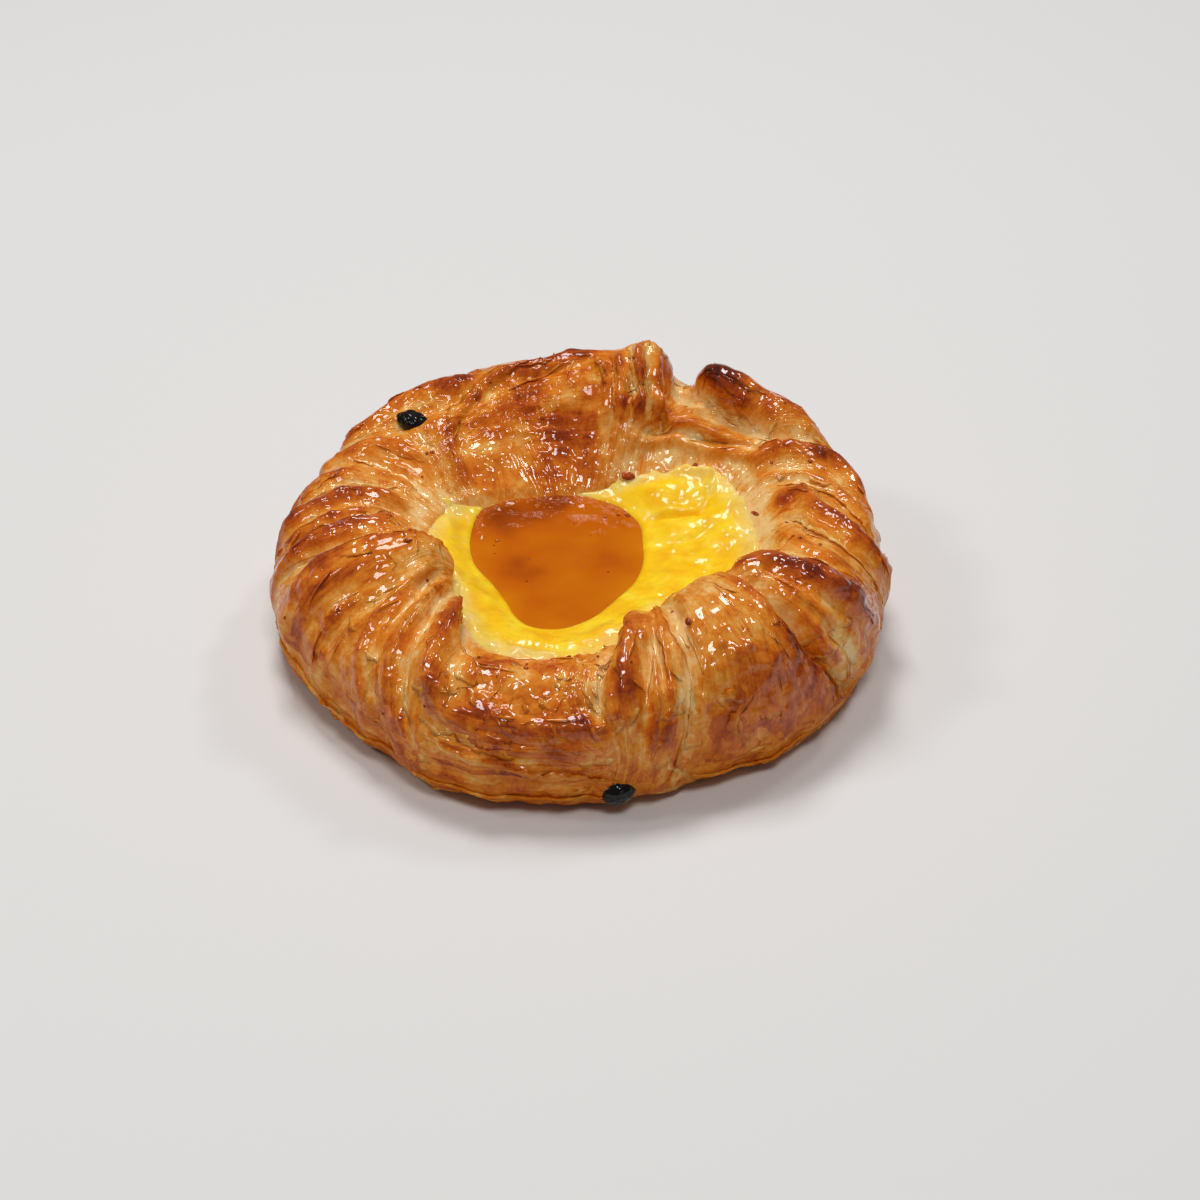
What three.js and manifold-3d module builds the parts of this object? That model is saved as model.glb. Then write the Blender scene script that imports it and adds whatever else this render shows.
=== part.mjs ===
// Danish pastry: a hand-folded ring of laminated dough, about 127 mm across, round a hollow that is
// filled with baked custard and topped with a pool of apricot jam. Two raisins show in the dough.
//
// Frame: millimetres, +Z up, origin at the middle of the flat base. +X is to the right and +Y to the
// back, where the rim stands tallest. Angles round the ring are in degrees from +X towards +Y.
//
// The dough is one lathed skin. A place on it is (angle, station), where the station runs along the
// section from the middle of the hollow, over the rim and round to the middle of the base:
//   0 middle of the hollow, 1 edge of the custard, 2 crest, 3 widest point, 4 edge of the base, 5 base.

import * as THREE from "three";
import { mergeVertices } from "three/addons/utils/BufferGeometryUtils.js";
import Module from "manifold-3d";

const wasm = await Module();
wasm.setup();

// ---- driving dimensions -------------------------------------------------------------------------

const COLUMNS = 94; // steps round the ring
const STATION_STEPS = [5, 10, 11, 6, 3]; // rows in each unit of station, 0-1 to 4-5
const GAP = 0.3; // kept between pieces that touch
const EDGE_GAP = 0.5; // the custard's edge stops this far short of the dough
const BASE_INSET = 7; // the base's edge lies this far inside the widest outline
const HOLLOW_FLOOR = 12.5; // height of the dough in the middle of the hollow
const CUSTARD_MIDDLE = 19.8; // the custard sags to this level under the jam
const JAM_LEVEL = 19.2;
const JAM_DEPTH = 3.6;
const JAM_EDGE = 0.4; // thickness of the jam at its edge
const JAM_CENTRE = new THREE.Vector2(-4.5, -1.5);
const JAM_STEPS = 48;
const NARROWEST_FOLD = 5; // a fold falls away over at least this far

// Outlines round the ring, {angle: millimetres}, joined by a smooth curve.
const RIM_RADIUS = {
  0: 63, 18: 63.5, 30: 65.5, 45: 64, 60: 60, 75: 57, 95: 58, 115: 60, 130: 62, 145: 62, 160: 62,
  180: 63.5, 198: 64, 212: 60, 228: 60.5, 245: 62.5, 262: 61.5, 282: 60, 298: 58.5, 312: 60.5,
  328: 62, 345: 62.5,
};
const RIM_HEIGHT = { 0: 13, 33: 14, 90: 14, 150: 12, 200: 13, 225: 11, 270: 10, 315: 11, 345: 12 };
const CREST_RADIUS = {
  0: 48, 18: 51, 33: 54, 45: 54, 53: 52, 63: 48, 71: 48, 85: 46, 105: 47, 120: 49, 135: 51, 150: 51,
  165: 49, 178: 44, 190: 36, 203: 35.5, 214: 39, 228: 43, 245: 46, 262: 46, 282: 44, 298: 43,
  312: 42, 328: 44, 345: 46,
};
const CREST_HEIGHT = {
  0: 29.5, 18: 29, 30: 31.5, 42: 34, 53: 37, 63: 32.5, 71: 42, 80: 40, 95: 38, 110: 35.5, 120: 33,
  135: 30.5, 150: 28, 165: 28, 178: 28.5, 190: 31, 203: 31, 214: 28.5, 228: 27.5, 245: 25,
  262: 24.5, 282: 27, 298: 31, 312: 32.5, 328: 32, 345: 30,
};
const CUSTARD_RADIUS = {
  0: 37, 20: 37.5, 39: 37, 51: 33.5, 61: 28.5, 75: 25, 88: 23.8, 102: 24, 118: 25.5, 133: 28,
  150: 30.5, 175: 31, 200: 28, 212: 29, 224: 31.5, 239: 37, 262: 37, 278: 34, 292: 29.5,
  309: 26.5, 325: 29, 341: 35,
};
const CUSTARD_HEIGHT = { 0: 22, 40: 23, 60: 22.5, 90: 20.5, 120: 21, 150: 22, 210: 22, 270: 21 };
const JAM_RADIUS = {
  0: 18.2, 22: 19.2, 47: 22.2, 88: 22.3, 113: 23, 126: 23.2, 140: 21.2, 159: 18.6, 183: 16,
  208: 14.6, 235: 16.8, 257: 21.6, 272: 22, 290: 20.4, 311: 18, 340: 17.4,
};

// Folds of the dough. The path is in [angle, station]; lift is how far the fold stands up, or sinks
// where it is negative, and widths are how far it falls away [on its clockwise, on its
// anticlockwise side] when the path is walked outwards.
const FOLDS = [
  // left pillow, whose edge laps over the folds beside it
  { path: [[195, 2.8], [196, 2.3], [199, 1.9], [198, 1.3]], lift: 3, widths: [18, 3] },
  { path: [[188, 2.9], [185, 2.4], [183, 2], [180, 1.5]], lift: 2.2, widths: [4.5, 4.5] },
  { path: [[175, 2.8], [171, 2.2], [167, 1.8], [164, 1.4]], lift: 2.4, widths: [4.5, 4] },
  { path: [[160, 2.7], [157, 2.2], [154, 1.8], [152, 1.5]], lift: 1.6, widths: [4.5, 4.5] },
  // rolled lip at the back left, with the hollow that holds a raisin
  { path: [[143, 2.4], [134, 2.3], [126, 2.2], [118, 2.05]], lift: 2.6, widths: [4, 4] },
  { path: [[140, 1.95], [132, 1.9], [123, 1.85]], lift: -2.2, widths: [5, 5] },
  // long back sheet
  { path: [[134, 1.3], [131, 1.6], [124, 1.75], [115, 1.88], [106, 1.96]], lift: 2, widths: [3.4, 10] },
  // pleats under the peak
  { path: [[80, 2], [77, 1.7], [75, 1.4]], lift: 1.6, widths: [3.4, 3.4] },
  { path: [[71, 2.1], [68, 1.8], [66, 1.5]], lift: 1.8, widths: [3.4, 3.4] },
  // valley beside the peak and the rolled knob behind it
  { path: [[66, 2.4], [61, 2], [52, 1.6], [43, 1.56], [35, 1.68], [27, 2.1]], lift: -2.2, widths: [7, 6] },
  { path: [[58, 2.3], [52, 2], [46, 1.95], [40, 2.05], [34, 2.25]], lift: 2.4, widths: [7, 7] },
  { path: [[72, 1.5], [62, 1.6], [52, 1.38], [42, 1.4], [32, 1.55]], lift: 1.4, widths: [3.5, 3.5] },
  // slanting folds on the right
  { path: [[32, 1.5], [28, 1.84], [24, 2.15], [18, 2.45], [10, 2.6]], lift: 2.4, widths: [6, 4] },
  { path: [[14, 1.55], [9, 1.85], [2, 2.1], [358, 2.4], [358, 2.9]], lift: 2.2, widths: [5, 4] },
  { path: [[323, 1.7], [330, 1.85], [333, 2.15], [335, 2.45], [340, 2.85]], lift: 3.6, widths: [5, 8] },
  { path: [[321, 1.6], [321, 2.1], [321, 2.5], [324, 2.8], [331, 3.2]], lift: -2.4, widths: [6, 7] },
  // big right-hand front pillow
  { path: [[312, 1.5], [310, 2.1], [308, 2.8]], lift: 2.6, widths: [15, 12] },
  { path: [[304, 1.2], [296, 1.9], [294, 2.5], [287, 3.2]], lift: -1.8, widths: [6, 6] },
  // finger-like rolled ridge
  { path: [[293, 1.15], [286, 1.7], [281, 2.1], [278, 2.5]], lift: 3, widths: [6.5, 6.5] },
  // front pillow between the finger and the left-hand pinch
  { path: [[247, 2.2], [257, 2.1], [267, 2.1], [276, 2.2]], lift: 1.4, widths: [4, 6] },
  { path: [[221, 1.15], [230, 1.5], [234, 1.9], [237, 2.25], [242, 2.5]], lift: 2.8, widths: [5, 6] },
  { path: [[226, 1.05], [237, 1.35], [245, 1.7]], lift: -1.5, widths: [6, 6] },
];

// Raisins: middle, half sizes, turn about +Z in degrees, tilt about +Y in degrees.
const RAISINS = {
  raisin_back: { at: [-35, 34.6, 29.6], half: [3.7, 2.5, 2.1], turn: -18, tilt: 8 },
  raisin_front: { at: [8.2, -56.9, 3.6], half: [3.4, 2.9, 3.1], turn: 30, tilt: 20 },
};

// ---- helpers ------------------------------------------------------------------------------------

const lerp = THREE.MathUtils.lerp;
const clamp = THREE.MathUtils.clamp;
const radians = THREE.MathUtils.degToRad;

// Value of an outline at an angle: cubic through the table's points, closed round the ring.
function around(table, angle) {
  const angles = Object.keys(table).map(Number).sort((a, b) => a - b);
  const count = angles.length;
  const at = (i) => angles[((i % count) + count) % count] + 360 * Math.floor(i / count);
  const value = (i) => table[angles[((i % count) + count) % count]];
  const slope = (i) => (value(i + 1) - value(i - 1)) / (at(i + 1) - at(i - 1));
  let turned = ((angle % 360) + 360) % 360;
  if (turned < at(0)) turned += 360;
  let i = 0;
  while (turned >= at(i + 1)) i++;
  const span = at(i + 1) - at(i);
  const t = (turned - at(i)) / span;
  return (
    (2 * t ** 3 - 3 * t ** 2 + 1) * value(i) +
    (t ** 3 - 2 * t ** 2 + t) * span * slope(i) +
    (3 * t ** 2 - 2 * t ** 3) * value(i + 1) +
    (t ** 3 - t ** 2) * span * slope(i + 1)
  );
}

// 1 at the middle, smoothly down to 0 at distance 1.
function bump(distance) {
  return distance < 1 ? (1 - distance ** 2) ** 2 : 0;
}

// ---- the dough's smooth form --------------------------------------------------------------------

// Height of the wall between the custard and the crest, 0 to 1: domed, but a longer slope at the back.
function innerWall(angle, u) {
  const back = Math.max(0, 0.5 + 0.5 * Math.cos(radians(angle - 95))) ** 2;
  const domed = 1 - (1 - u) ** 2;
  const sloping = (1 - Math.cos(Math.PI * u)) / 2;
  return lerp(domed, 0.45 * sloping + 0.55 * domed, back);
}

// [radius, height] of the unfolded dough.
function section(angle, station) {
  const rim = around(RIM_RADIUS, angle);
  const rimHeight = around(RIM_HEIGHT, angle);
  const crest = around(CREST_RADIUS, angle);
  const crestHeight = around(CREST_HEIGHT, angle);
  const inner = around(CUSTARD_RADIUS, angle);
  const innerHeight = around(CUSTARD_HEIGHT, angle);
  const base = rim - BASE_INSET;
  if (station <= 1) return [inner * station, lerp(HOLLOW_FLOOR, innerHeight, station ** 4)];
  if (station <= 2) {
    const u = station - 1;
    return [lerp(inner, crest, u), lerp(innerHeight, crestHeight, innerWall(angle, u))];
  }
  if (station <= 3) {
    const turn = ((station - 2) * Math.PI) / 2;
    return [lerp(crest, rim, Math.sin(turn)), lerp(rimHeight, crestHeight, Math.cos(turn) ** 0.9)];
  }
  if (station <= 4) {
    const turn = ((station - 3) * Math.PI) / 2;
    return [lerp(base, rim, Math.cos(turn)), rimHeight * (1 - Math.sin(turn))];
  }
  return [base * (5 - station), 0];
}

function smoothDough(angle, station) {
  const [radius, height] = section(angle, station);
  const turned = radians(angle);
  return new THREE.Vector3(radius * Math.cos(turned), radius * Math.sin(turned), height);
}

function outward(angle, station) {
  const step = 0.02;
  const round = smoothDough(angle + 1, station).sub(smoothDough(angle - 1, station));
  const along = smoothDough(angle, station + step).sub(smoothDough(angle, station - step));
  return along.cross(round).normalize();
}

// ---- folds --------------------------------------------------------------------------------------

const SPLITS = 4; // short pieces in each leg of a fold's path
const FADE = 0.18; // share of a path over which a fold's end dies away

// A fold's path on the smooth dough, as points with the way out of the dough at each.
function trace(fold) {
  const points = [];
  for (let leg = 0; leg + 1 < fold.path.length; leg++) {
    const [a0, s0] = fold.path[leg];
    const [a1, s1] = fold.path[leg + 1];
    for (let k = leg ? 1 : 0; k <= SPLITS; k++) {
      const angle = lerp(a0, a1, k / SPLITS);
      const station = lerp(s0, s1, k / SPLITS);
      points.push({ at: smoothDough(angle, station), out: outward(angle, station) });
    }
  }
  return points;
}

const traced = FOLDS.map((fold) => ({ ...fold, points: trace(fold) }));

// How far a point is from a fold's path, which side of it, and the share of the path passed there.
function nearestOn(points, point) {
  const best = { away: Infinity };
  for (let i = 0; i + 1 < points.length; i++) {
    const leg = new THREE.Line3(points[i].at, points[i + 1].at);
    const t = leg.closestPointToPointParameter(point, true);
    const offset = point.clone().sub(leg.at(t, new THREE.Vector3()));
    const away = offset.length();
    if (away >= best.away) continue;
    const along = leg.delta(new THREE.Vector3()).normalize();
    best.away = away;
    best.side = along.cross(offset).dot(points[i].out);
    best.share = (i + t) / (points.length - 1);
  }
  return best;
}

// Height that the folds add at a point of the smooth dough.
function folded(point) {
  let height = 0;
  for (const fold of traced) {
    const { away, side, share } = nearestOn(fold.points, point);
    const towards = away > 0 ? 0.5 + (0.5 * side) / away : 0.5;
    const width = Math.max(lerp(fold.widths[0], fold.widths[1], towards), NARROWEST_FOLD);
    const ends = THREE.MathUtils.smoothstep(Math.min(share, 1 - share), -FADE, FADE);
    height += fold.lift * ends * bump(away / width);
  }
  return height;
}

// Folds die away at the custard and at the base, so that neither edge moves.
function foldShare(station) {
  const fromCustard = THREE.MathUtils.smoothstep(station, 1, 1.3);
  const fromBase = 1 - THREE.MathUtils.smoothstep(station, 3.2, 3.9);
  return fromCustard * fromBase;
}

function doughAt(angle, station) {
  const point = smoothDough(angle, station);
  const share = foldShare(station);
  if (share > 0) point.addScaledVector(outward(angle, station), share * folded(point));
  return point;
}

// ---- solids -------------------------------------------------------------------------------------

// A closed skin turned about +Z, whose rows and columns are then put where `place` says.
function turned(columns, stations, place) {
  const spindle = stations.map((s, i) => {
    const onAxis = i === 0 || i === stations.length - 1;
    return new THREE.Vector2(onAxis ? 0 : 1, i);
  });
  const skin = new THREE.LatheGeometry(spindle, columns);
  const position = skin.getAttribute("position");
  const rows = stations.length;
  for (let i = 0; i < position.count; i++) {
    const column = Math.floor(i / rows) % columns;
    const p = place((360 * column) / columns, stations[i % rows]);
    position.setXYZ(i, p.x, p.y, p.z);
  }
  return skin;
}

function stationsFrom(steps, first = 0) {
  const stations = [first];
  steps.forEach((count, unit) => {
    for (let k = 1; k <= count; k++) stations.push(first + unit + k / count);
  });
  return stations;
}

// One welded solid from a skin: the slivers that meet at the axis are left out.
function toSolid(geometry) {
  const bare = geometry.clone();
  bare.deleteAttribute("normal");
  bare.deleteAttribute("uv");
  const merged = mergeVertices(bare, 1e-4);
  const corners = merged.index.array;
  const kept = [];
  for (let i = 0; i < corners.length; i += 3) {
    const [a, b, c] = corners.slice(i, i + 3);
    if (a !== b && b !== c && c !== a) kept.push(a, b, c);
  }
  const mesh = new wasm.Mesh({
    numProp: 3,
    vertProperties: merged.getAttribute("position").array,
    triVerts: new Uint32Array(kept),
  });
  return new wasm.Manifold(mesh);
}

function toGeometry(solid) {
  const mesh = solid.getMesh();
  const geometry = new THREE.BufferGeometry();
  geometry.setAttribute("position", new THREE.BufferAttribute(mesh.vertProperties, 3));
  geometry.setIndex(new THREE.BufferAttribute(mesh.triVerts, 1));
  geometry.computeVertexNormals();
  return geometry;
}

// Dough ------------------------------------------------------------------------------------------

function doughSkin() {
  // The stations run from the base to the hollow, so that the faces point out.
  return turned(COLUMNS, stationsFrom(STATION_STEPS).reverse(), doughAt);
}

// Custard: rests on the hollow's floor, and its top sags from the dough's edge towards the jam -----

const CUSTARD_ROWS = [0, 0.2, 0.4, 0.6, 0.8, 1];

function custardTop(angle, share) {
  const [radius] = section(angle, share);
  const level = lerp(CUSTARD_MIDDLE, around(CUSTARD_HEIGHT, angle) + 0.1, share ** 2);
  const turnedBy = radians(angle);
  return new THREE.Vector3(radius * Math.cos(turnedBy), radius * Math.sin(turnedBy), level);
}

function custardSkin() {
  // Share 0 to 1 is the top from the middle out, and 1 to 2 is the floor back to the middle.
  const shares = [...CUSTARD_ROWS, ...CUSTARD_ROWS.slice(0, -1).reverse().map((s) => 2 - s)];
  return turned(COLUMNS, shares.reverse(), (angle, share) => {
    const top = custardTop(angle, Math.min(share, 2 - share));
    if (share <= 1) {
      const inset = 1 - EDGE_GAP / around(CUSTARD_RADIUS, angle);
      return top.set(top.x * inset, top.y * inset, top.z);
    }
    const floor = smoothDough(angle, 2 - share);
    return floor.setZ(floor.z + GAP);
  });
}

// Jam: a level top over a shallow bowl. Grown by `grow` and raised, it is the hollow in the custard --

const JAM_ROWS = [1, 0.75, 0.4, 0];

function jamSkin(grow = 0, rise = 0) {
  // Rows below 1 are the top from the middle out; the bowl's rows follow from its edge to the middle.
  const shares = [0, 0.5, 0.999, ...JAM_ROWS.map((reach) => 2 - reach)];
  return turned(JAM_STEPS, shares.reverse(), (angle, share) => {
    const isTop = share < 1;
    const reach = isTop ? share : 2 - share;
    const radius = around(JAM_RADIUS, angle) * reach + (reach > 0 ? grow : 0);
    const bowl = JAM_EDGE + JAM_DEPTH * (1 - reach ** 2) + grow;
    const turnedBy = radians(angle);
    return new THREE.Vector3(
      JAM_CENTRE.x + radius * Math.cos(turnedBy),
      JAM_CENTRE.y + radius * Math.sin(turnedBy),
      JAM_LEVEL + (isTop ? rise : -bowl),
    );
  });
}

// Raisins: small lumpy ovals -----------------------------------------------------------------------

function raisinSkin({ at, half, turn, tilt }, grow = 0) {
  const skin = new THREE.IcosahedronGeometry(1, 2);
  const position = skin.getAttribute("position");
  const p = new THREE.Vector3();
  for (let i = 0; i < position.count; i++) {
    p.fromBufferAttribute(position, i);
    const wrinkle = 1 + 0.05 * Math.sin(5 * p.x + 2) * Math.sin(6 * p.y + 1) - 0.04 * Math.cos(7 * p.z);
    p.multiplyScalar(wrinkle);
    p.set(p.x * (half[0] + grow), p.y * (half[1] + grow), p.z * (half[2] + grow));
    position.setXYZ(i, p.x, p.y, p.z);
  }
  skin.rotateY(radians(tilt));
  skin.rotateZ(radians(turn));
  skin.translate(...at);
  return skin;
}

// ---- assembly -----------------------------------------------------------------------------------

const RAISIN_GROWTH = 0.35; // the dough's pocket is this much larger all round
const JAM_GROWTH = GAP + 0.05;
const CUSTARD_RISE = 6; // the hollow is cut this far up, clear through the custard's top

const pastry = new THREE.Group();
pastry.name = "danish_pastry";

function addPiece(name, geometry, colour, roughness) {
  const material = new THREE.MeshStandardMaterial({ color: colour, roughness, metalness: 0 });
  const mesh = new THREE.Mesh(geometry, material);
  mesh.name = name;
  pastry.add(mesh);
}

let dough = toSolid(doughSkin());
for (const raisin of Object.values(RAISINS)) {
  dough = dough.subtract(toSolid(raisinSkin(raisin, RAISIN_GROWTH)));
}
const custard = toSolid(custardSkin()).subtract(toSolid(jamSkin(JAM_GROWTH, CUSTARD_RISE)));

addPiece("dough", toGeometry(dough), 0xb5651d, 0.35);
addPiece("custard", toGeometry(custard), 0xf4c316, 0.3);
addPiece("jam", toGeometry(toSolid(jamSkin())), 0xbf5f08, 0.1);
for (const [name, raisin] of Object.entries(RAISINS)) {
  addPiece(name, toGeometry(toSolid(raisinSkin(raisin))), 0x1a1214, 0.35);
}

// The origin goes to the middle of the base of the whole pastry's box.
const box = new THREE.Box3().setFromObject(pastry, true);
const middle = box.getCenter(new THREE.Vector3());
pastry.children.forEach((mesh) => mesh.geometry.translate(-middle.x, -middle.y, -box.min.z));

export default pastry;
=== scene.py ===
import math

import bmesh
import bpy
import numpy as np
from mathutils import Matrix, Vector, noise


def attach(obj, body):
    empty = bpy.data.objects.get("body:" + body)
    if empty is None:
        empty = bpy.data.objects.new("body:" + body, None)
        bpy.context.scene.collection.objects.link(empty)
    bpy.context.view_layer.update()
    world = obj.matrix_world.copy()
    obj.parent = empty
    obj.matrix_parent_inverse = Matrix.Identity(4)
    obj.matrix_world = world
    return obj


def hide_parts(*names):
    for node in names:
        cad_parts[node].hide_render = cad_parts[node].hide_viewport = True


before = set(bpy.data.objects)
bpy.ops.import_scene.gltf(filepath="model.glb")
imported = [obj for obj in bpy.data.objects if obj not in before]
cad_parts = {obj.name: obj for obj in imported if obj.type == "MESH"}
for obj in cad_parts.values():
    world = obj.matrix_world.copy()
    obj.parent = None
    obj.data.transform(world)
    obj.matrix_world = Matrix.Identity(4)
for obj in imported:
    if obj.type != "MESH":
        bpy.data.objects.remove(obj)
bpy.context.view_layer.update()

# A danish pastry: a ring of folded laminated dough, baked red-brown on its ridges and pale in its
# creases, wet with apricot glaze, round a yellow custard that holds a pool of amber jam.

MM = 0.001
STATION_LENGTH = 22  # mm of dough from one whole station to the next, roughly
SHEETS_ROUND = 68  # overlapping sheets counted once round the ring
CRUMB_COUNT = 46  # small crumbs besides those that stand out
LOOSE_FLAKES = 190
FROTH_COUNT = 60  # bubbles along the back of the jam
FLECK_COUNT = 9  # flecks anywhere in it

# The dough was folded round this point, a little off the middle of the base, in mm.
FOLDED_ROUND = np.array([0.3446, 1.6384, 0.0])


# ---- helpers -------------------------------------------------------------------------------------

def smooth(low, high, x):
    """0 below low, 1 above high, and a smooth slope between."""
    t = np.clip((x - low) / (high - low), 0, 1)
    return t * t * (3 - 2 * t)


def bump(x):
    """1 at 0, falling smoothly to 0 at 1."""
    return np.clip(1 - x * x, 0, None) ** 2


def around(table, angle):
    """Value of a closed outline, {angle: value}, at each angle: a cubic through its points."""
    at = np.array(sorted(table), float)
    value = np.array([table[a] for a in sorted(table)], float)
    at3 = np.concatenate([at - 360, at, at + 360])
    value3 = np.tile(value, 3)
    slope = np.gradient(value3, at3)
    turned = np.mod(angle, 360.0)
    i = np.clip(np.searchsorted(at3, turned, side="right") - 1, 0, len(at3) - 2)
    span = at3[i + 1] - at3[i]
    t = (turned - at3[i]) / span
    return (
        (2 * t**3 - 3 * t**2 + 1) * value3[i]
        + (t**3 - 2 * t**2 + t) * span * slope[i]
        + (3 * t**2 - 2 * t**3) * value3[i + 1]
        + (t**3 - t**2) * span * slope[i + 1]
    )


def lumps(points, size, seed, octaves=2):
    """Smooth random values near -1 to 1 at points in mm, with lumps about `size` mm apart."""
    shape = points.shape[:-1]
    flat = points.reshape(-1, 3) / np.array(size) + 31.7 * seed
    values = [noise.fractal(p, 1.0, 2.1, octaves) for p in flat.tolist()]
    return np.array(values).reshape(shape)


def smoothed(grid, rows, columns):
    """The grid averaged over so many rows and columns each way, round the ring."""
    out = grid
    for _ in range(2):
        out = sum(np.roll(out, k, axis=1) for k in range(-columns, columns + 1)) / (2 * columns + 1)
        padded = np.pad(out, ((rows, rows), (0, 0)), mode="edge")
        out = sum(padded[k : k + len(grid)] for k in range(2 * rows + 1)) / (2 * rows + 1)
    return out


# ---- the dough's form ----------------------------------------------------------------------------
# A place on the dough is an angle in degrees from +X towards +Y, and a station along its section:
# 0 middle of the hollow, 1 edge of the custard, 2 crest, 3 widest, 4 edge of the base, 5 its middle.

RIM_RADIUS = {
    0: 63, 18: 63.2, 30: 64.3, 45: 62.6, 60: 59.5, 75: 57, 95: 58, 115: 60, 130: 62, 145: 62, 160: 62,
    180: 62, 198: 62, 212: 59, 228: 59.5, 245: 61, 262: 60.2, 282: 59.2, 298: 58.2, 312: 60.5,
    328: 62, 345: 62.5,
}
RIM_HEIGHT = {0: 13, 33: 14, 90: 14, 150: 12, 200: 13, 225: 11, 270: 10, 315: 11, 345: 12}
CREST_RADIUS = {
    0: 48, 18: 51, 33: 53.2, 45: 52.6, 53: 50.8, 63: 47.6, 71: 48, 85: 46, 105: 47, 120: 49, 135: 51,
    150: 51, 165: 49, 178: 44, 190: 36, 203: 35.5, 214: 39, 228: 43, 245: 46, 262: 46, 282: 44,
    298: 43, 312: 42, 328: 44, 345: 46,
}
CREST_HEIGHT = {
    0: 29.5, 18: 29, 30: 31.5, 42: 34, 53: 37, 63: 32.5, 71: 42, 80: 40, 95: 38, 110: 35.5,
    120: 33, 135: 30.5, 150: 28, 165: 28, 178: 28.5, 190: 31, 203: 31, 214: 28.5, 228: 27.5,
    245: 25, 262: 24.5, 282: 27, 298: 31, 312: 32.5, 328: 32, 345: 30,
}
CUSTARD_RADIUS = {
    0: 37, 20: 37.5, 39: 37, 51: 33.5, 61: 28.5, 75: 25, 88: 23.8, 102: 24, 118: 25.5, 133: 28,
    150: 30.5, 175: 31, 200: 28, 212: 29, 224: 31.5, 239: 37, 262: 37, 278: 34, 292: 29.5,
    309: 26.5, 325: 29, 341: 35,
}
CUSTARD_HEIGHT = {0: 22, 40: 23, 60: 22.5, 90: 20.5, 120: 21, 150: 22, 210: 22, 270: 21}
BASE_INSET = 7
HOLLOW_FLOOR = 12.5


def dough_form(angle, station):
    """Points in mm on the dough before it is folded."""
    angle, station = np.broadcast_arrays(np.asarray(angle, float), np.asarray(station, float))
    rim = around(RIM_RADIUS, angle)
    rim_height = around(RIM_HEIGHT, angle)
    crest = around(CREST_RADIUS, angle)
    crest_height = around(CREST_HEIGHT, angle)
    inner = around(CUSTARD_RADIUS, angle)
    inner_height = around(CUSTARD_HEIGHT, angle)
    base = rim - BASE_INSET
    back = np.clip(0.5 + 0.5 * np.cos(np.radians(angle - 95)), 0, 1) ** 2

    hollow = np.clip(station, 0, 1)
    wall = np.clip(station - 1, 0, 1)
    over = np.clip(station - 2, 0, 1) * math.pi / 2
    under = np.clip(station - 3, 0, 1) * math.pi / 2
    domed = 1 - (1 - wall) ** 2
    wall_rise = (1 - back) * domed + back * (0.45 * (1 - np.cos(math.pi * wall)) / 2 + 0.55 * domed)

    radius = np.select(
        [station <= 1, station <= 2, station <= 3, station <= 4],
        [
            inner * hollow,
            inner + (crest - inner) * wall,
            crest + (rim - crest) * np.sin(over),
            base + (rim - base) * np.cos(under),
        ],
        base * np.clip(5 - station, 0, 1),
    )
    height = np.select(
        [station <= 1, station <= 2, station <= 3, station <= 4],
        [
            HOLLOW_FLOOR + (inner_height - HOLLOW_FLOOR) * hollow**4,
            inner_height + (crest_height - inner_height) * wall_rise,
            rim_height + (crest_height - rim_height) * np.clip(np.cos(over), 0, 1) ** 0.9,
            rim_height * (1 - np.sin(under)),
        ],
        0.0,
    )
    turned = np.radians(angle)
    return np.stack([radius * np.cos(turned), radius * np.sin(turned), height], -1)


def outward(angle, station):
    """Unit directions out of the unfolded dough."""
    round_it = dough_form(angle + 0.6, station) - dough_form(angle - 0.6, station)
    along = dough_form(angle, station + 0.02) - dough_form(angle, station - 0.02)
    out = np.cross(along, round_it)
    return out / np.maximum(np.linalg.norm(out, axis=-1, keepdims=True), 1e-9)


# ---- folds ---------------------------------------------------------------------------------------
# Each fold follows a path of (angle, station). It lifts the dough so many mm, or sinks it, and falls
# away over two widths: on its clockwise side and its anticlockwise side, going outwards. `brown` is
# how much darker it has baked, and `sheen` how much more glaze has settled on it.

def fold(path, lift, widths, brown=0.0, sheen=0.0):
    return {"path": path, "lift": lift, "widths": widths, "brown": 0.4 * brown, "sheen": sheen}


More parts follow.
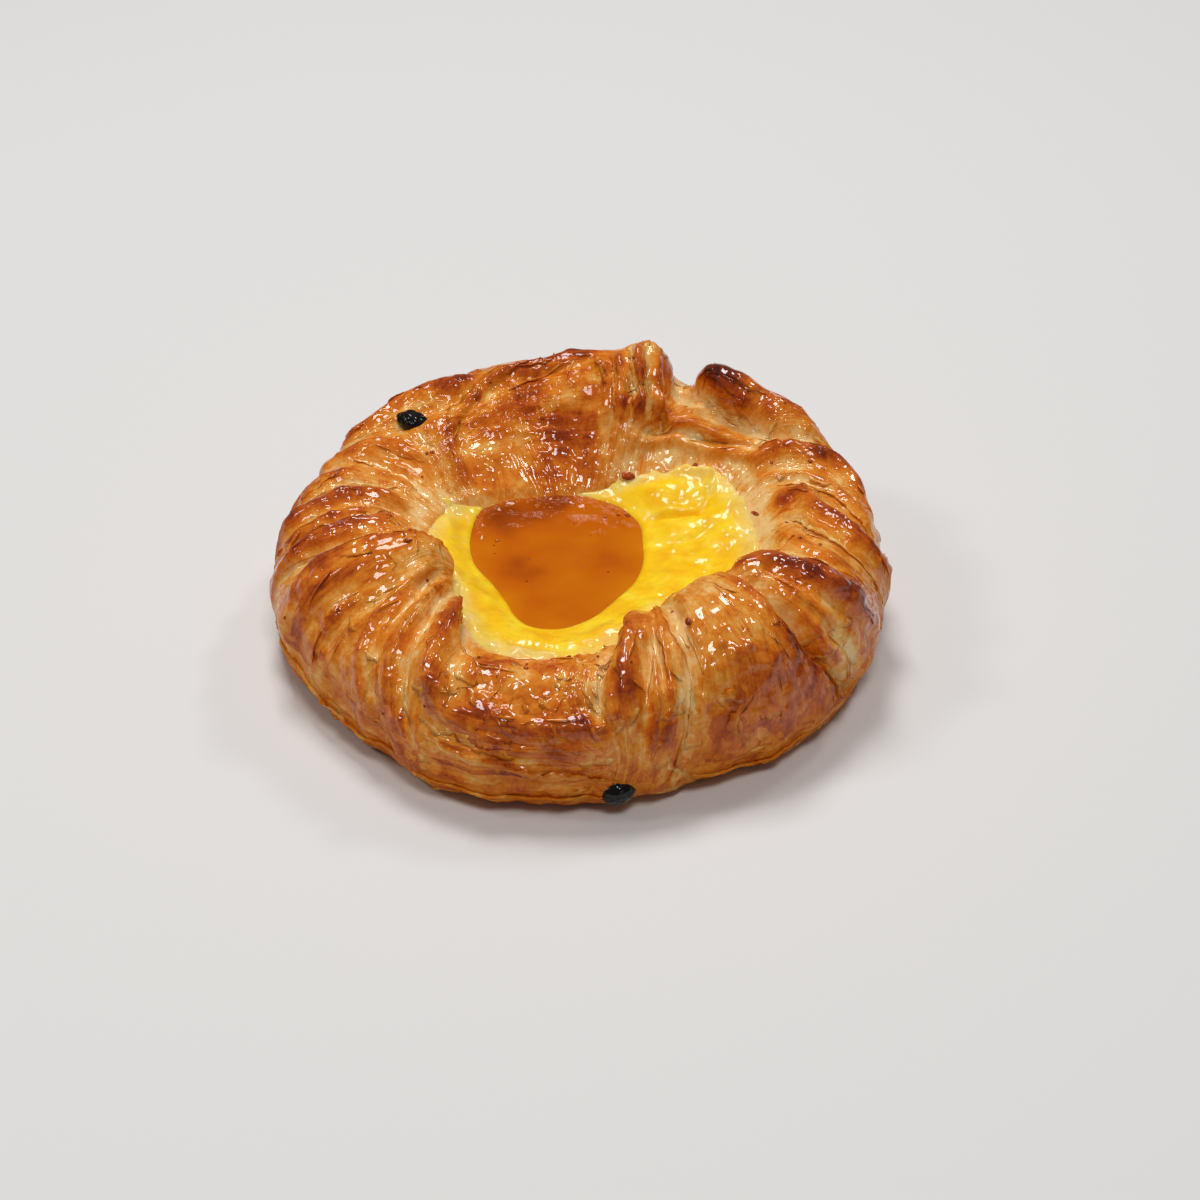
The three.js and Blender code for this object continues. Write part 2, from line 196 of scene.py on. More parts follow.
FOLDS = [
    # Left pillow and the sheet edge that laps over the folds behind it.
    fold([(196, 2.7), (196, 2.3), (200, 1.9), (199, 1.35), (197, 1.05)], 2.9, (16, 1.5), 0.1),
    fold([(189, 2.9), (191, 2.3), (194, 1.85), (194, 1.4), (193, 1.1)], -1.6, (2.2, 2.2), -0.15),
    fold([(203, 2.95), (203, 2.5), (204, 2.2)], 0.5, (2.4, 2.4), 0.3),
    fold([(209, 2.95), (209, 2.6), (210, 2.35)], 0.5, (2.6, 2.2), 0.35),
    fold([(214, 2.9), (215, 2.55), (218, 2.2), (219, 1.9)], 0.5, (2.2, 2.2), 0.1),
    # Two dark ridges at the left.
    fold([(187, 3.0), (186, 2.4), (184, 2.0), (181, 1.6)], 2.1, (4, 3.2), 0.38, 0.3),
    fold([(181, 2.9), (179, 2.35), (177, 2.0), (174, 1.55)], 1.3, (2.2, 2.2), 0.2, 0.3),
    fold([(176, 2.9), (172, 2.3), (168, 1.9), (165, 1.4)], 2.3, (3.6, 2.8), 0.36, 0.3),
    fold([(183, 2.9), (182, 2.3), (180, 1.9)], -1.0, (1.5, 1.5), -0.1),
    fold([(169, 2.8), (166, 2.3), (162, 1.9), (158, 1.5)], -1.3, (2, 2), -0.12),
    fold([(165, 2.8), (161, 2.35), (159, 2.0)], 1.0, (3, 2.6), 0.1),
    fold([(156, 2.5), (154, 2.15), (152, 1.85), (151, 1.5), (154, 1.25)], -0.9, (1.6, 1.6), -0.06),
    fold([(153, 2.7), (150, 2.25), (146, 1.85), (141, 1.45)], 0.9, (3.4, 2.4), 0.06),
    # Rolled lip at the back left, and the hollow in front of it.
    fold([(146, 2.5), (140, 2.35), (133, 2.3), (126, 2.2), (119, 2.05)], 2.6, (3.4, 3.4), 0.38, 0.2),
    fold([(141, 1.98), (134, 1.93), (127, 1.88), (121, 1.86)], -2.0, (3.6, 3.6), -0.05),
    fold([(142, 2.75), (134, 2.65), (124, 2.55), (112, 2.45)], -1.1, (2, 2), 0.0),
    fold([(140, 2.95), (130, 2.9), (118, 2.8), (104, 2.7)], 1.2, (3, 3), 0.2),
    # Long back sheet with its own upper edge.
    fold([(136, 1.2), (131, 1.6), (124, 1.75), (116, 1.88), (107, 1.97)], 1.7, (1.5, 10), 0.15, 0.3),
    fold([(112, 1.92), (102, 1.99), (93, 2.05), (84, 2.08)], 1.2, (3.2, 3.2), 0.35, 0.2),
    fold([(106, 1.8), (98, 1.86), (90, 1.9)], -0.7, (1.6, 1.6), 0.05),
    # Pleats that hang from the peak.
    fold([(84, 1.92), (81, 1.7), (79, 1.42)], 1.0, (2.2, 2.2), 0.2, 0.2),
    fold([(79, 1.93), (77, 1.7), (75, 1.42)], 1.2, (2, 2), 0.3, 0.2),
    fold([(74.5, 1.95), (72, 1.72), (69, 1.43)], 1.3, (1.9, 1.9), 0.34, 0.2),
    fold([(69, 1.95), (67, 1.75), (65, 1.55)], 1.3, (1.9, 1.9), 0.25, 0.2),
    fold([(76.5, 2.0), (74.5, 1.75), (72, 1.5)], -0.8, (1.1, 1.1), -0.1),
    fold([(72, 2.0), (69.5, 1.75), (67, 1.5)], -0.8, (1.1, 1.1), -0.1),
    # Valley at the back right and the rolled knob behind it.
    fold([(66, 2.4), (62, 2.04), (52, 1.62), (43, 1.57), (37, 1.64), (32, 1.8), (27, 2.15)],
         -3.0, (4.5, 4), -0.2),
    fold([(60, 2.25), (53, 1.98), (46, 1.95), (40, 2.07), (34, 2.28)], 2.5, (5, 5), 0.42, 0.4),
    fold([(56, 1.96), (52, 1.9), (48, 1.9)], 1.2, (4, 4), 0.5, 0.4),
    fold([(47, 1.8), (44, 1.78)], 0.8, (2, 2), 0.3),
    fold([(60, 2.55), (52, 2.3), (44, 2.3), (36, 2.5)], -1.5, (2, 2), -0.1),
    fold([(62, 2.75), (52, 2.55), (43, 2.55), (34, 2.75)], 1.2, (2.5, 2.5), -0.1),
    # Cream-coloured pleats that run from the peak to the right.
    fold([(72, 1.5), (64, 1.68), (58, 1.5), (50, 1.4), (43, 1.45), (34, 1.6), (28, 1.9)],
         1.5, (2.6, 2.6), -0.02),
    fold([(68, 1.3), (60, 1.36), (50, 1.24), (40, 1.28), (31, 1.42)], 0.9, (2.2, 2.2), -0.08),
    fold([(66, 1.4), (58, 1.42), (50, 1.31), (42, 1.35), (33, 1.5)], -0.7, (1.2, 1.2), -0.1),
    # Slanting folds on the right.
    fold([(32, 1.45), (28, 1.84), (25, 2.1), (22, 2.36), (17, 2.5), (9, 2.6)], 2.2, (5, 2.4), 0.32, 0.2),
    fold([(35, 1.6), (32, 1.95), (29, 2.3), (24, 2.6), (16, 2.8)], -1.3, (1.8, 1.8), -0.12),
    fold([(22, 1.4), (18, 1.75), (13, 2.1), (6, 2.4), (359, 2.7)], -1.0, (1.7, 1.7), -0.1),
    fold([(15, 1.5), (11, 1.82), (4, 2.0), (358, 2.3), (356, 2.6), (357, 3.0)], 2.0, (4, 2.6), 0.3, 0.2),
    fold([(25, 1.3), (21, 1.6), (17, 1.95), (11, 2.25), (4, 2.55)], 0.9, (2.4, 2.4), 0.1),
    fold([(5, 1.4), (0, 1.7), (354, 2.0), (350, 2.35), (350, 2.8)], -0.9, (1.6, 1.6), -0.05),
    fold([(358, 1.35), (352, 1.65), (347, 1.95), (344, 2.3), (345, 2.7)], 0.9, (3, 3), 0.06),
    # Dark ridge at the right, the deep crease before it and the moist hollow that it opens on.
    fold([(323, 1.72), (330, 1.84), (333, 2.1), (335, 2.36), (339, 2.68), (343, 2.95)],
         3.4, (3.6, 7), 0.42, 0.4),
    fold([(321, 1.6), (321, 2.1), (321, 2.5), (323, 2.75), (328, 3.0), (334, 3.3)],
         -4.6, (1.6, 3.2), -0.25),
    fold([(321, 2.3), (322, 2.7), (327, 3.0), (333, 3.3)], -3.4, (1.2, 2.4), -0.2),
    fold([(326, 2.0), (328, 2.4), (331, 2.75)], 0.8, (1.8, 1.8), -0.1),
    fold([(328, 2.6), (331, 2.85), (334, 3.0)], -2.8, (4, 4), -0.4),
    # Right-hand front pillow, rolled like a small croissant.
    fold([(312, 1.45), (310, 2.1), (308, 2.8)], 2.4, (15, 12), 0.0, 0.2),
    fold([(318, 1.9), (317, 2.4), (318, 2.9)], 0.7, (2.4, 1.8), 0.15),
    fold([(304, 1.2), (297, 1.95), (296, 2.24), (294, 2.5), (292, 2.8), (288, 3.3)],
         -2.4, (1.8, 2.2), -0.2),
    fold([(298, 1.35), (292, 2.0), (290, 2.4), (286, 2.95)], 1.3, (1.9, 1.9), 0.02),
    fold([(294, 1.5), (288, 2.15), (286, 2.6), (282, 3.1)], 1.2, (1.8, 1.8), 0.04),
    fold([(295.5, 1.5), (289.8, 2.1), (287.8, 2.5), (284, 3.0)], -0.8, (1.1, 1.1), -0.12),
    # Finger-like dark roll.
    fold([(293, 1.12), (287, 1.7), (282, 2.1), (279, 2.45)], 3.6, (4.2, 4.4), 0.26, 0.6),
    fold([(287, 1.1), (280, 1.7), (276, 2.1), (274, 2.5)], -1.5, (1.7, 1.7), -0.15),
    fold([(291, 1.85), (286, 2.3), (282, 2.75)], -1.2, (1.4, 1.4), -0.12),
    # Front pillow: a dark band along it, and the edges of the layers below.
    fold([(243, 2.2), (250, 2.0), (258, 2.14), (265, 1.96), (273, 2.16)], 1.1, (6, 6), 0.06, 0.3),
    fold([(250, 1.55), (260, 1.5), (270, 1.5)], 0.7, (3, 3), 0.0),
    fold([(241, 2.7), (249, 2.74), (257, 2.84), (267, 2.9), (276, 2.86)], -1.3, (1.4, 2.4), -0.06),
    fold([(239, 2.98), (250, 3.08), (262, 3.14), (274, 3.1)], -1.0, (1.2, 2), 0.0),
    fold([(236, 3.3), (250, 3.42), (264, 3.44), (278, 3.4)], -0.8, (1.2, 1.8), 0.1),
    fold([(246, 2.52), (253, 2.44), (260, 2.56), (269, 2.52), (276, 2.64)], 0.8, (3, 2.4), 0.12),
    # Pinched roll at the front left with the curved pleats on its left.
    fold([(221, 1.12), (230, 1.5), (234, 1.9), (237, 2.25), (242, 2.5)], 2.9, (3.6, 4.8), 0.32, 0.6),
    fold([(225, 1.03), (236, 1.33), (243, 1.7)], -1.8, (2.6, 2.2), -0.1),
    fold([(218, 1.2), (225, 1.6), (229, 2.05), (234, 2.55), (240, 2.95)], -1.3, (1.7, 1.7), -0.14),
    fold([(215, 1.35), (221, 1.75), (226, 2.2), (231, 2.7), (238, 3.15)], 1.1, (2.1, 2.1), 0.02),
    fold([(212, 1.5), (218, 1.9), (223, 2.35), (228, 2.8), (235, 3.3)], -0.8, (1.3, 1.3), -0.1),
    fold([(210, 1.7), (215, 2.1), (220, 2.55), (226, 3.0)], 0.8, (1.9, 1.9), 0.08),
    # Quieter folds across the outer wall behind, as on the front.
    fold([(128, 2.35), (122, 2.7), (114, 3.1), (108, 3.4)], -1.2, (1.8, 2.6), -0.08),
    fold([(116, 2.3), (110, 2.65), (101, 3.0), (95, 3.3)], 1.5, (4, 2), 0.22),
    fold([(100, 2.25), (94, 2.6), (86, 2.95), (80, 3.3)], -1.3, (1.8, 2.6), -0.08),
    fold([(92, 2.2), (86, 2.6), (77, 2.95), (70, 3.25)], 1.6, (4, 2.2), 0.24),
    fold([(76, 2.3), (70, 2.65), (62, 2.95), (55, 3.2)], -1.2, (1.8, 2.4), -0.08),
    fold([(154, 2.5), (150, 2.9), (144, 3.2), (138, 3.4)], 1.1, (3, 2), 0.12),
    fold([(30, 2.75), (26, 3.0), (20, 3.2), (12, 3.35)], 1.1, (3, 2), 0.15),
    fold([(40, 2.7), (36, 3.0), (30, 3.2), (24, 3.35)], -1.1, (1.6, 2.2), -0.05),
]

# Browned and pale patches: angle, station, radius in mm, how much darker.
PATCHES = [
    # back sheet, lacquered deep amber all the way down to the jam
    (95, 1.12, 12, 0.24), (112, 1.15, 12, 0.22), (80, 1.12, 9, 0.14), (130, 1.2, 10, 0.12),
    (97, 1.44, 7, 0.16), (83, 1.56, 6, 0.2), (108, 1.68, 8, 0.16), (87, 1.38, 5, 0.14),
    (116, 1.56, 6, 0.12), (71, 1.42, 5, 0.1), (65, 1.56, 4, 0.1), (78, 1.84, 7, 0.12),
    (69, 1.75, 6, 0.08), (101, 1.82, 8, 0.14), (87, 1.85, 7, 0.12), (120, 2.0, 10, 0.12),
    (134, 1.18, 6, 0.12), (95, 2.15, 12, 0.12),
    # left
    (150, 1.62, 8, 0.1), (168, 2.1, 8, 0.1), (186, 2.25, 7, 0.06), (190, 2.45, 6, 0.02),
    (206, 2.82, 8, 0.06), (204, 2.4, 6, 0.1), (212, 2.6, 7, 0.1), (205, 1.6, 9, -0.06),
    (215, 1.95, 8, -0.06), (222, 1.75, 6, -0.04), (160, 1.9, 7, -0.12), (155, 1.2, 6, -0.02),
    (222, 2.9, 12, 0.14), (234, 2.95, 9, 0.12),
    # front left pinch and front pillow
    (238, 2.0, 5, 0.04), (243, 2.38, 5, 0.1), (248, 2.42, 5, 0.13), (247, 2.55, 4, 0.2),
    (259, 2.42, 6, 0.12), (267, 2.58, 7, 0.16), (272, 2.62, 5, 0.14), (250, 2.05, 6, 0.16),
    (263, 2.3, 6, 0.12), (271, 2.42, 5, 0.12), (257, 2.62, 4, 0.12), (266, 1.85, 5, 0.08),
    (258, 2.12, 4, -0.08), (275, 2.1, 5, -0.1), (262, 1.5, 9, -0.06), (256, 2.75, 8, 0.2),
    (268, 2.8, 7, 0.12), (262, 3.1, 16, 0.1), (246, 3.05, 9, 0.1), (283, 2.35, 5, 0.14),
    # finger roll and the pleats beside it
    (284, 1.8, 4, 0.02), (284, 2.1, 4, 0.04), (279, 2.28, 6, 0.08), (277, 2.5, 6, 0.1),
    (286, 2.72, 6, 0.16), (291, 2.1, 6, -0.16), (292, 2.5, 5, -0.1), (298, 2.9, 8, 0.1),
    # right front pillow: pale top, dark flank
    (308, 1.66, 11, -0.1), (312, 1.3, 9, -0.1), (313, 2.8, 13, 0.24), (308, 2.6, 8, 0.05),
    (320, 2.6, 8, 0.1), (300, 3.1, 9, 0.06), (326, 2.6, 5, -0.05), (331, 2.84, 6, -0.14),
    # right
    (331, 2.15, 6, 0.18), (338, 2.5, 8, 0.2), (345, 2.75, 7, 0.06), (358, 2.06, 7, 0.12),
    (13, 1.5, 6, 0.14), (6, 1.32, 7, -0.08), (21, 1.84, 6, -0.04), (2, 2.36, 8, 0.04),
    (0, 1.15, 8, -0.04), (37, 1.4, 8, 0.04), (49, 1.25, 8, 0.0), (62, 1.22, 9, 0.02),
    (45, 1.1, 8, 0.04), (20, 1.15, 8, 0.0), (12, 1.3, 5, 0.16), (350, 1.25, 5, 0.12),
    (28, 1.35, 4, 0.12), (3, 1.12, 4, 0.12), (22, 1.1, 4, 0.1), (344, 1.1, 4, 0.08),
    (356, 1.42, 5, 0.1), (51, 1.92, 6, 0.14), (43, 1.98, 4, 0.06), (52, 2.2, 9, 0.04),
    (30, 2.6, 12, 0.06),
]

# Where the glaze has pooled thick and smooth: angle, station, radius in mm, how much.
POOLED = [
    (308, 2.1, 10, 0.9), (302, 2.2, 8, 0.8), (313, 1.95, 8, 0.7), (284, 2.05, 5, 0.7), (46, 1.95, 6, 0.6),
    (338, 2.1, 5, 0.5), (206, 2.0, 9, 0.5), (262, 2.45, 5, 0.4),
]

# Crumbs that stand out: angle, station, half length and half width in mm.
CRUMBS = [
    (67, 1.02, 1.5, 0.9), (47, 1.06, 0.8, 0.6), (16, 1.04, 1.2, 0.45), (203, 2.02, 0.9, 0.5),
    (299, 2.05, 1.2, 0.7), (258, 1.9, 0.6, 0.5), (140, 1.5, 0.6, 0.4),
]


def trace(path, steps=5):
    """A smooth run of (angle, station) through a path's points."""
    points = np.array(path, float)
    points[:, 0] = np.degrees(np.unwrap(np.radians(points[:, 0])))
    padded = np.vstack([2 * points[0] - points[1], points, 2 * points[-1] - points[-2]])
    run = []
    for a, b, c, d in zip(padded, padded[1:], padded[2:], padded[3:]):
        for k in range(steps):
            t = k / steps
            run.append(b + 0.5 * t * (c - a + t * (2 * a - 5 * b + 4 * c - d + t * (3 * (b - c) + d - a))))
    return np.array(run + [points[-1]])


def near_path(points, run):
    """For each point: distance to the run, signed side of it, and the share of the run passed."""
    on_path = dough_form(run[:, 0], run[:, 1])
    out = outward(run[:, 0], run[:, 1])
    best = np.full(len(points), 1e9)
    side = np.zeros(len(points))
    share = np.zeros(len(points))
    for i in range(len(run) - 1):
        leg = on_path[i + 1] - on_path[i]
        offset = points - on_path[i]
        t = np.clip(offset @ leg / max(leg @ leg, 1e-9), 0, 1)
        offset = offset - t[:, None] * leg
        away = np.linalg.norm(offset, axis=1)
        nearer = away < best
        across = np.cross(leg / np.linalg.norm(leg), offset[nearer]) @ out[i]
        best[nearer] = away[nearer]
        side[nearer] = across / np.maximum(away[nearer], 1e-6)
        share[nearer] = (i + t[nearer]) / (len(run) - 1)
    return best, side, share


# ---- dough ---------------------------------------------------------------------------------------

DOUGH_COLUMNS = 600
DOUGH_STATIONS = np.concatenate([
    np.linspace(0, 0.9, 6),
    np.linspace(0.94, 2, 62),
    np.linspace(2, 3, 56)[1:],
    np.linspace(3, 4, 28)[1:],
    np.linspace(4, 5, 8)[1:],
])


def shape_mesh(mesh, points):
    """Moves a mesh's points to places in mm from the point that the dough was folded round."""
    mesh.vertices.foreach_set("co", ((points.reshape(-1, 3) + FOLDED_ROUND) * MM).ravel())


def give(mesh, name, values):
    """Stores one number or one vector at each point of a mesh."""
    kind, key = ("FLOAT_VECTOR", "vector") if values.ndim == 2 else ("FLOAT", "value")
    layer = mesh.attributes.new(name, kind, "POINT")
    layer.data.foreach_set(key, values.astype(np.float32).ravel())


def skin(name, points, learnt):
    """A closed skin through a grid of points whose first and last rows are its poles."""
    rows, columns = len(points) - 1, points.shape[1]
    bm = bmesh.new()
    bmesh.ops.create_uvsphere(bm, u_segments=columns, v_segments=rows, radius=1)
    mesh = bpy.data.meshes.new(name)
    bm.to_mesh(mesh)
    bm.free()
    place = np.empty(len(mesh.vertices) * 3)
    mesh.vertices.foreach_get("co", place)
    x, y, z = place.reshape(-1, 3).T
    row = np.rint(np.arccos(np.clip(z, -1, 1)) / math.pi * rows).astype(int)
    column = np.rint(np.degrees(np.arctan2(y, x)) / 360 * columns).astype(int) % columns
    placed = points[row, column]
    for pole in (0, rows):
        placed[row == pole] = points[pole].mean(axis=0)
    shape_mesh(mesh, placed)
    for key, values in learnt.items():
        give(mesh, key, values[row, column])
    return mesh


def piece(name, mesh, material, node=None):
    """Puts a finished mesh into the scene as a piece of the pastry."""
    mesh.update()
    mesh.shade_smooth()
    obj = bpy.data.objects.new(name, mesh)
    bpy.context.scene.collection.objects.link(obj)
    mesh.materials.append(material)
    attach(obj, "root")
    if node:
        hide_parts(node)


def grid_normals(points):
    """Unit normals of a grid of points that is closed round its columns."""
    round_it = np.roll(points, -1, axis=1) - np.roll(points, 1, axis=1)
    along = np.gradient(points, axis=0)
    out = np.cross(along, round_it)
    return out / np.maximum(np.linalg.norm(out, axis=-1, keepdims=True), 1e-9)


def folded_dough():
    """The dough's points in mm on a grid of stations by angles, and what was learnt on the way."""
    angles = np.arange(DOUGH_COLUMNS) * 360 / DOUGH_COLUMNS
    angle, station = np.meshgrid(angles, DOUGH_STATIONS)
    plain = dough_form(angle, station)
    out = outward(angle, np.clip(station, 0.05, 4.95))

    # The folds themselves. Their widths wander a little, as in anything folded by hand.
    wander = 1 + 0.16 * lumps(plain, 7, 3)
    lift = np.zeros(angle.shape)
    bake = np.zeros(angle.shape)
    sheen = np.zeros(angle.shape)
    guides = []
    for each in FOLDS:
        run = trace(each["path"])
        reach = max(each["widths"]) * 1.35 + 1
        on_path = dough_form(run[:, 0], run[:, 1])
        low, high = on_path.min(axis=0) - reach, on_path.max(axis=0) + reach
        close = np.all((plain > low) & (plain < high), axis=-1)
        away, side, share = near_path(plain[close], run)
        away = away * wander[close]
        towards = 0.5 + 0.5 * side
        width = each["widths"][0] * (1 - towards) + each["widths"][1] * towards
        ends = smooth(-0.16, 0.16, np.minimum(share, 1 - share))
        shape = bump(away / width) * ends
        lift[close] += each["lift"] * shape
        bake[close] += each["brown"] * shape
        sheen[close] += each["sheen"] * shape
        if abs(run[-1, 0] - run[0, 0]) < 35:
            start = run[np.argmin(np.abs(run[:, 1] - 2)), 0]
            guides += [(a, s, start - a) for a, s in run[::3]]
    held = smooth(1.0, 1.22, station) * (1 - smooth(3.25, 3.95, station))
    held *= 1 - 0.55 * smooth(2.35, 2.9, station)
    lift *= held
    bake *= smooth(0.98, 1.12, station)

    # The layers run with the folds: `strand` is the angle at which each layer crosses the crest.
    guides = np.array(guides)
    turn = np.zeros(angle.shape)
    weight = np.full(angle.shape, 0.02)
    for at, s, shift in guides:
        gap = (angle - at + 180) % 360 - 180
        near = 1 / (1.2 + (gap / 7) ** 2 + ((station - s) / 0.3) ** 2) ** 3
        turn += near * shift
        weight += near
    strand = np.radians(angle + turn / weight)
    length = np.concatenate([[0], np.cumsum(np.linalg.norm(np.diff(plain, axis=0), axis=-1).mean(axis=1))])
    climb = np.broadcast_to(length[:, None], angle.shape)
    flow = np.stack([50 * np.cos(strand), 50 * np.sin(strand), climb], -1)

    # On the front wall, the back sheet and low down the layers run round the ring instead.
    def between(low, high, soft=10):
        gap = (angle - low) % 360
        return smooth(0, soft, gap) * (1 - smooth(high - low - soft, high - low, gap)) * (gap < high - low)

    level = np.clip(
        between(236, 282) * smooth(2.2, 2.6, station)
        + between(74, 140) * smooth(1.15, 1.4, station)
        + 0.8 * between(60, 150) * smooth(2.1, 2.5, station)
        + between(188, 240, 4) * smooth(2.75, 3.0, station)
        + 0.7 * between(286, 350) * smooth(2.9, 3.3, station), 0, 1)

    points = plain + out * lift[..., None]
    normals = grid_normals(points)

    # Large soft unevenness, then the layers: sheets that overlap like shingles, with fine strands.
    soft = smooth(1.02, 1.3, station) * (1 - 0.4 * smooth(2.5, 3.1, station))
    soft *= 1 - smooth(3.7, 4.0, station)
    swell = 0.55 * lumps(points, 11, 5) + 0.3 * lumps(points, 5, 6)
    warp = lumps(flow, (9, 9, 14), 7)
    bent = flow + np.stack([1.6 * warp, -1.6 * warp, 0 * warp], -1)
    fine = lumps(bent * (1 / 1.15, 1 / 1.15, 1 / 9), 1, 8, 2)
    coarse = lumps(bent * (1 / 3.4, 1 / 3.4, 1 / 15), 1, 9, 2)
    round_flow = np.stack([plain[..., 0] / 12, plain[..., 1] / 12, flow[..., 2] / 1.0 + 1.5 * warp], -1)
    fine_round = lumps(round_flow, 1, 10, 2)
    coarse_round = lumps(round_flow * (1, 1, 0.4), 1, 11, 2)
    strands = (1 - level) * (0.14 * fine + 0.4 * coarse) + level * (0.14 * fine_round + 0.4 * coarse_round)
    across = (SHEETS_ROUND * strand / (2 * math.pi) + 2.2 * warp) % 1
    up = (flow[..., 2] / 3.6 + 2.0 * warp) % 1
    sheet = sum(
        share * (np.where(step < 0.82, step / 0.82, 1 - (step - 0.82) / 0.18) - 0.5)
        for share, step in ((1 - level, across), (level, up))
    )
    patchy = smooth(-0.05, 0.4, lumps(flow, (8, 8, 14), 12))
    layers = (0.5 * strands + 0.4 * sheet * patchy) * soft
    crackle = smooth(0.1, 0.5, lumps(points, 14, 14)) + between(298, 326) * smooth(2.3, 2.6, station)
    blister = np.clip(lumps(points, 2.0, 13, 2), 0, 1) ** 1.3 * crackle
    ragged = lumps(points, (7, 7, 12), 17, 3) * smooth(2.3, 2.8, station) * (1 - smooth(3.7, 4.0, station))
    points = points + normals * (swell * held + layers + 0.7 * blister * soft + 0.9 * ragged)[..., None]

    # How far each place is baked: ridges most, creases and the custard's edge least.
    ridge = lift + layers - smoothed(lift + layers, 5, 8)
    bake += 0.38 + 0.14 * np.clip(ridge, -1.2, 1.2)
    bake += 0.05 * smooth(1.5, 2.2, station) - 0.06 * smooth(2.4, 3.0, station)
    bake -= 0.17 * (1 - smooth(1.0, 1.42, station)) * (1 - 0.75 * between(75, 150, 12))
    for at, s, radius, amount in PATCHES:
        away = np.linalg.norm(plain - dough_form(at, s), axis=-1) * (1 + 0.2 * swell)
        bake += amount * bump(away / radius)
    blotch = lumps(points, 6, 15, 3)
    streak = (1 - level) * fine + level * fine_round
    bake += 0.15 * blotch + 0.07 * streak + 0.12 * blister
    sheen += 0.75 + 0.3 * lumps(points, 9, 16) - 0.6 * smooth(2.65, 3.35, station)
    sheen += 0.2 * (1 - smooth(1.15, 1.5, station))
    sheen -= 0.35 * between(74, 142) * smooth(1.35, 1.6, station) * (1 - smooth(2.1, 2.3, station))
    flaky = np.clip(0.3 + 0.5 * patchy + 0.5 * smooth(2.3, 2.8, station) - 0.8 * (sheen - 0.7), 0, 1)
    pooled = np.zeros(angle.shape)
    for at, s, radius, amount in POOLED:
        away = np.linalg.norm(plain - dough_form(at, s), axis=-1) * (1 + 0.2 * swell)
        pooled = np.maximum(pooled, amount * bump(away / radius))
    return points, {
        "bake": bake, "glaze": np.clip(sheen, 0, 1), "grain": flow, "level": level,
        "flaky": np.clip(flaky - pooled, 0, 1), "beaded": 1 - pooled}


def make_dough(points, learnt, material):
    """The folded dough, with its underside pressed flat by the baking tray."""
    points[DOUGH_STATIONS >= 3.999, :, 2] = 0
    points[..., 2] = np.maximum(points[..., 2], 0)
    piece("dough_folds", skin("dough", points, learnt), material, "dough")


# ---- flakes and crumbs ---------------------------------------------------------------------------

def on_dough(grid, angle, station):
    """Values of a dough grid at each angle and station."""
    row = np.interp(station, DOUGH_STATIONS, np.arange(len(DOUGH_STATIONS)))
    column = np.mod(angle, 360) / 360 * DOUGH_COLUMNS
    r, c = np.minimum(row.astype(int), len(DOUGH_STATIONS) - 2), column.astype(int) % DOUGH_COLUMNS
    u, v = row - r, column - np.floor(column)
    after = (c + 1) % DOUGH_COLUMNS
    if grid.ndim == 3:
        u, v = u[..., None], v[..., None]
    return (
        (grid[r, c] * (1 - v) + grid[r, after] * v) * (1 - u)
        + (grid[r + 1, c] * (1 - v) + grid[r + 1, after] * v) * u
    )


def copies(name, source, count):
    """A mesh of so many copies of a bmesh, and each copy's points as the source has them."""
    one = bpy.data.meshes.new(name + "_one")
    source.to_mesh(one)
    source.free()
    many = bmesh.new()
    for _ in range(count):
        many.from_mesh(one)
    mesh = bpy.data.meshes.new(name)
    many.to_mesh(mesh)
    many.free()
    shape = np.array([v.co[:] for v in one.vertices])
    bpy.data.meshes.remove(one)
    return mesh, shape


def grains(name, count):
    """So many small balls in one mesh, still to be shaped."""
    bm = bmesh.new()
    bmesh.ops.create_icosphere(bm, subdivisions=2, radius=1)
    return copies(name, bm, count)


def outwards(mesh):
    """Turns each closed shell of a mesh so that its faces point out."""
    bm = bmesh.new()
    bm.from_mesh(mesh)
    bmesh.ops.recalc_face_normals(bm, faces=bm.faces[:])
    bm.to_mesh(mesh)
    bm.free()


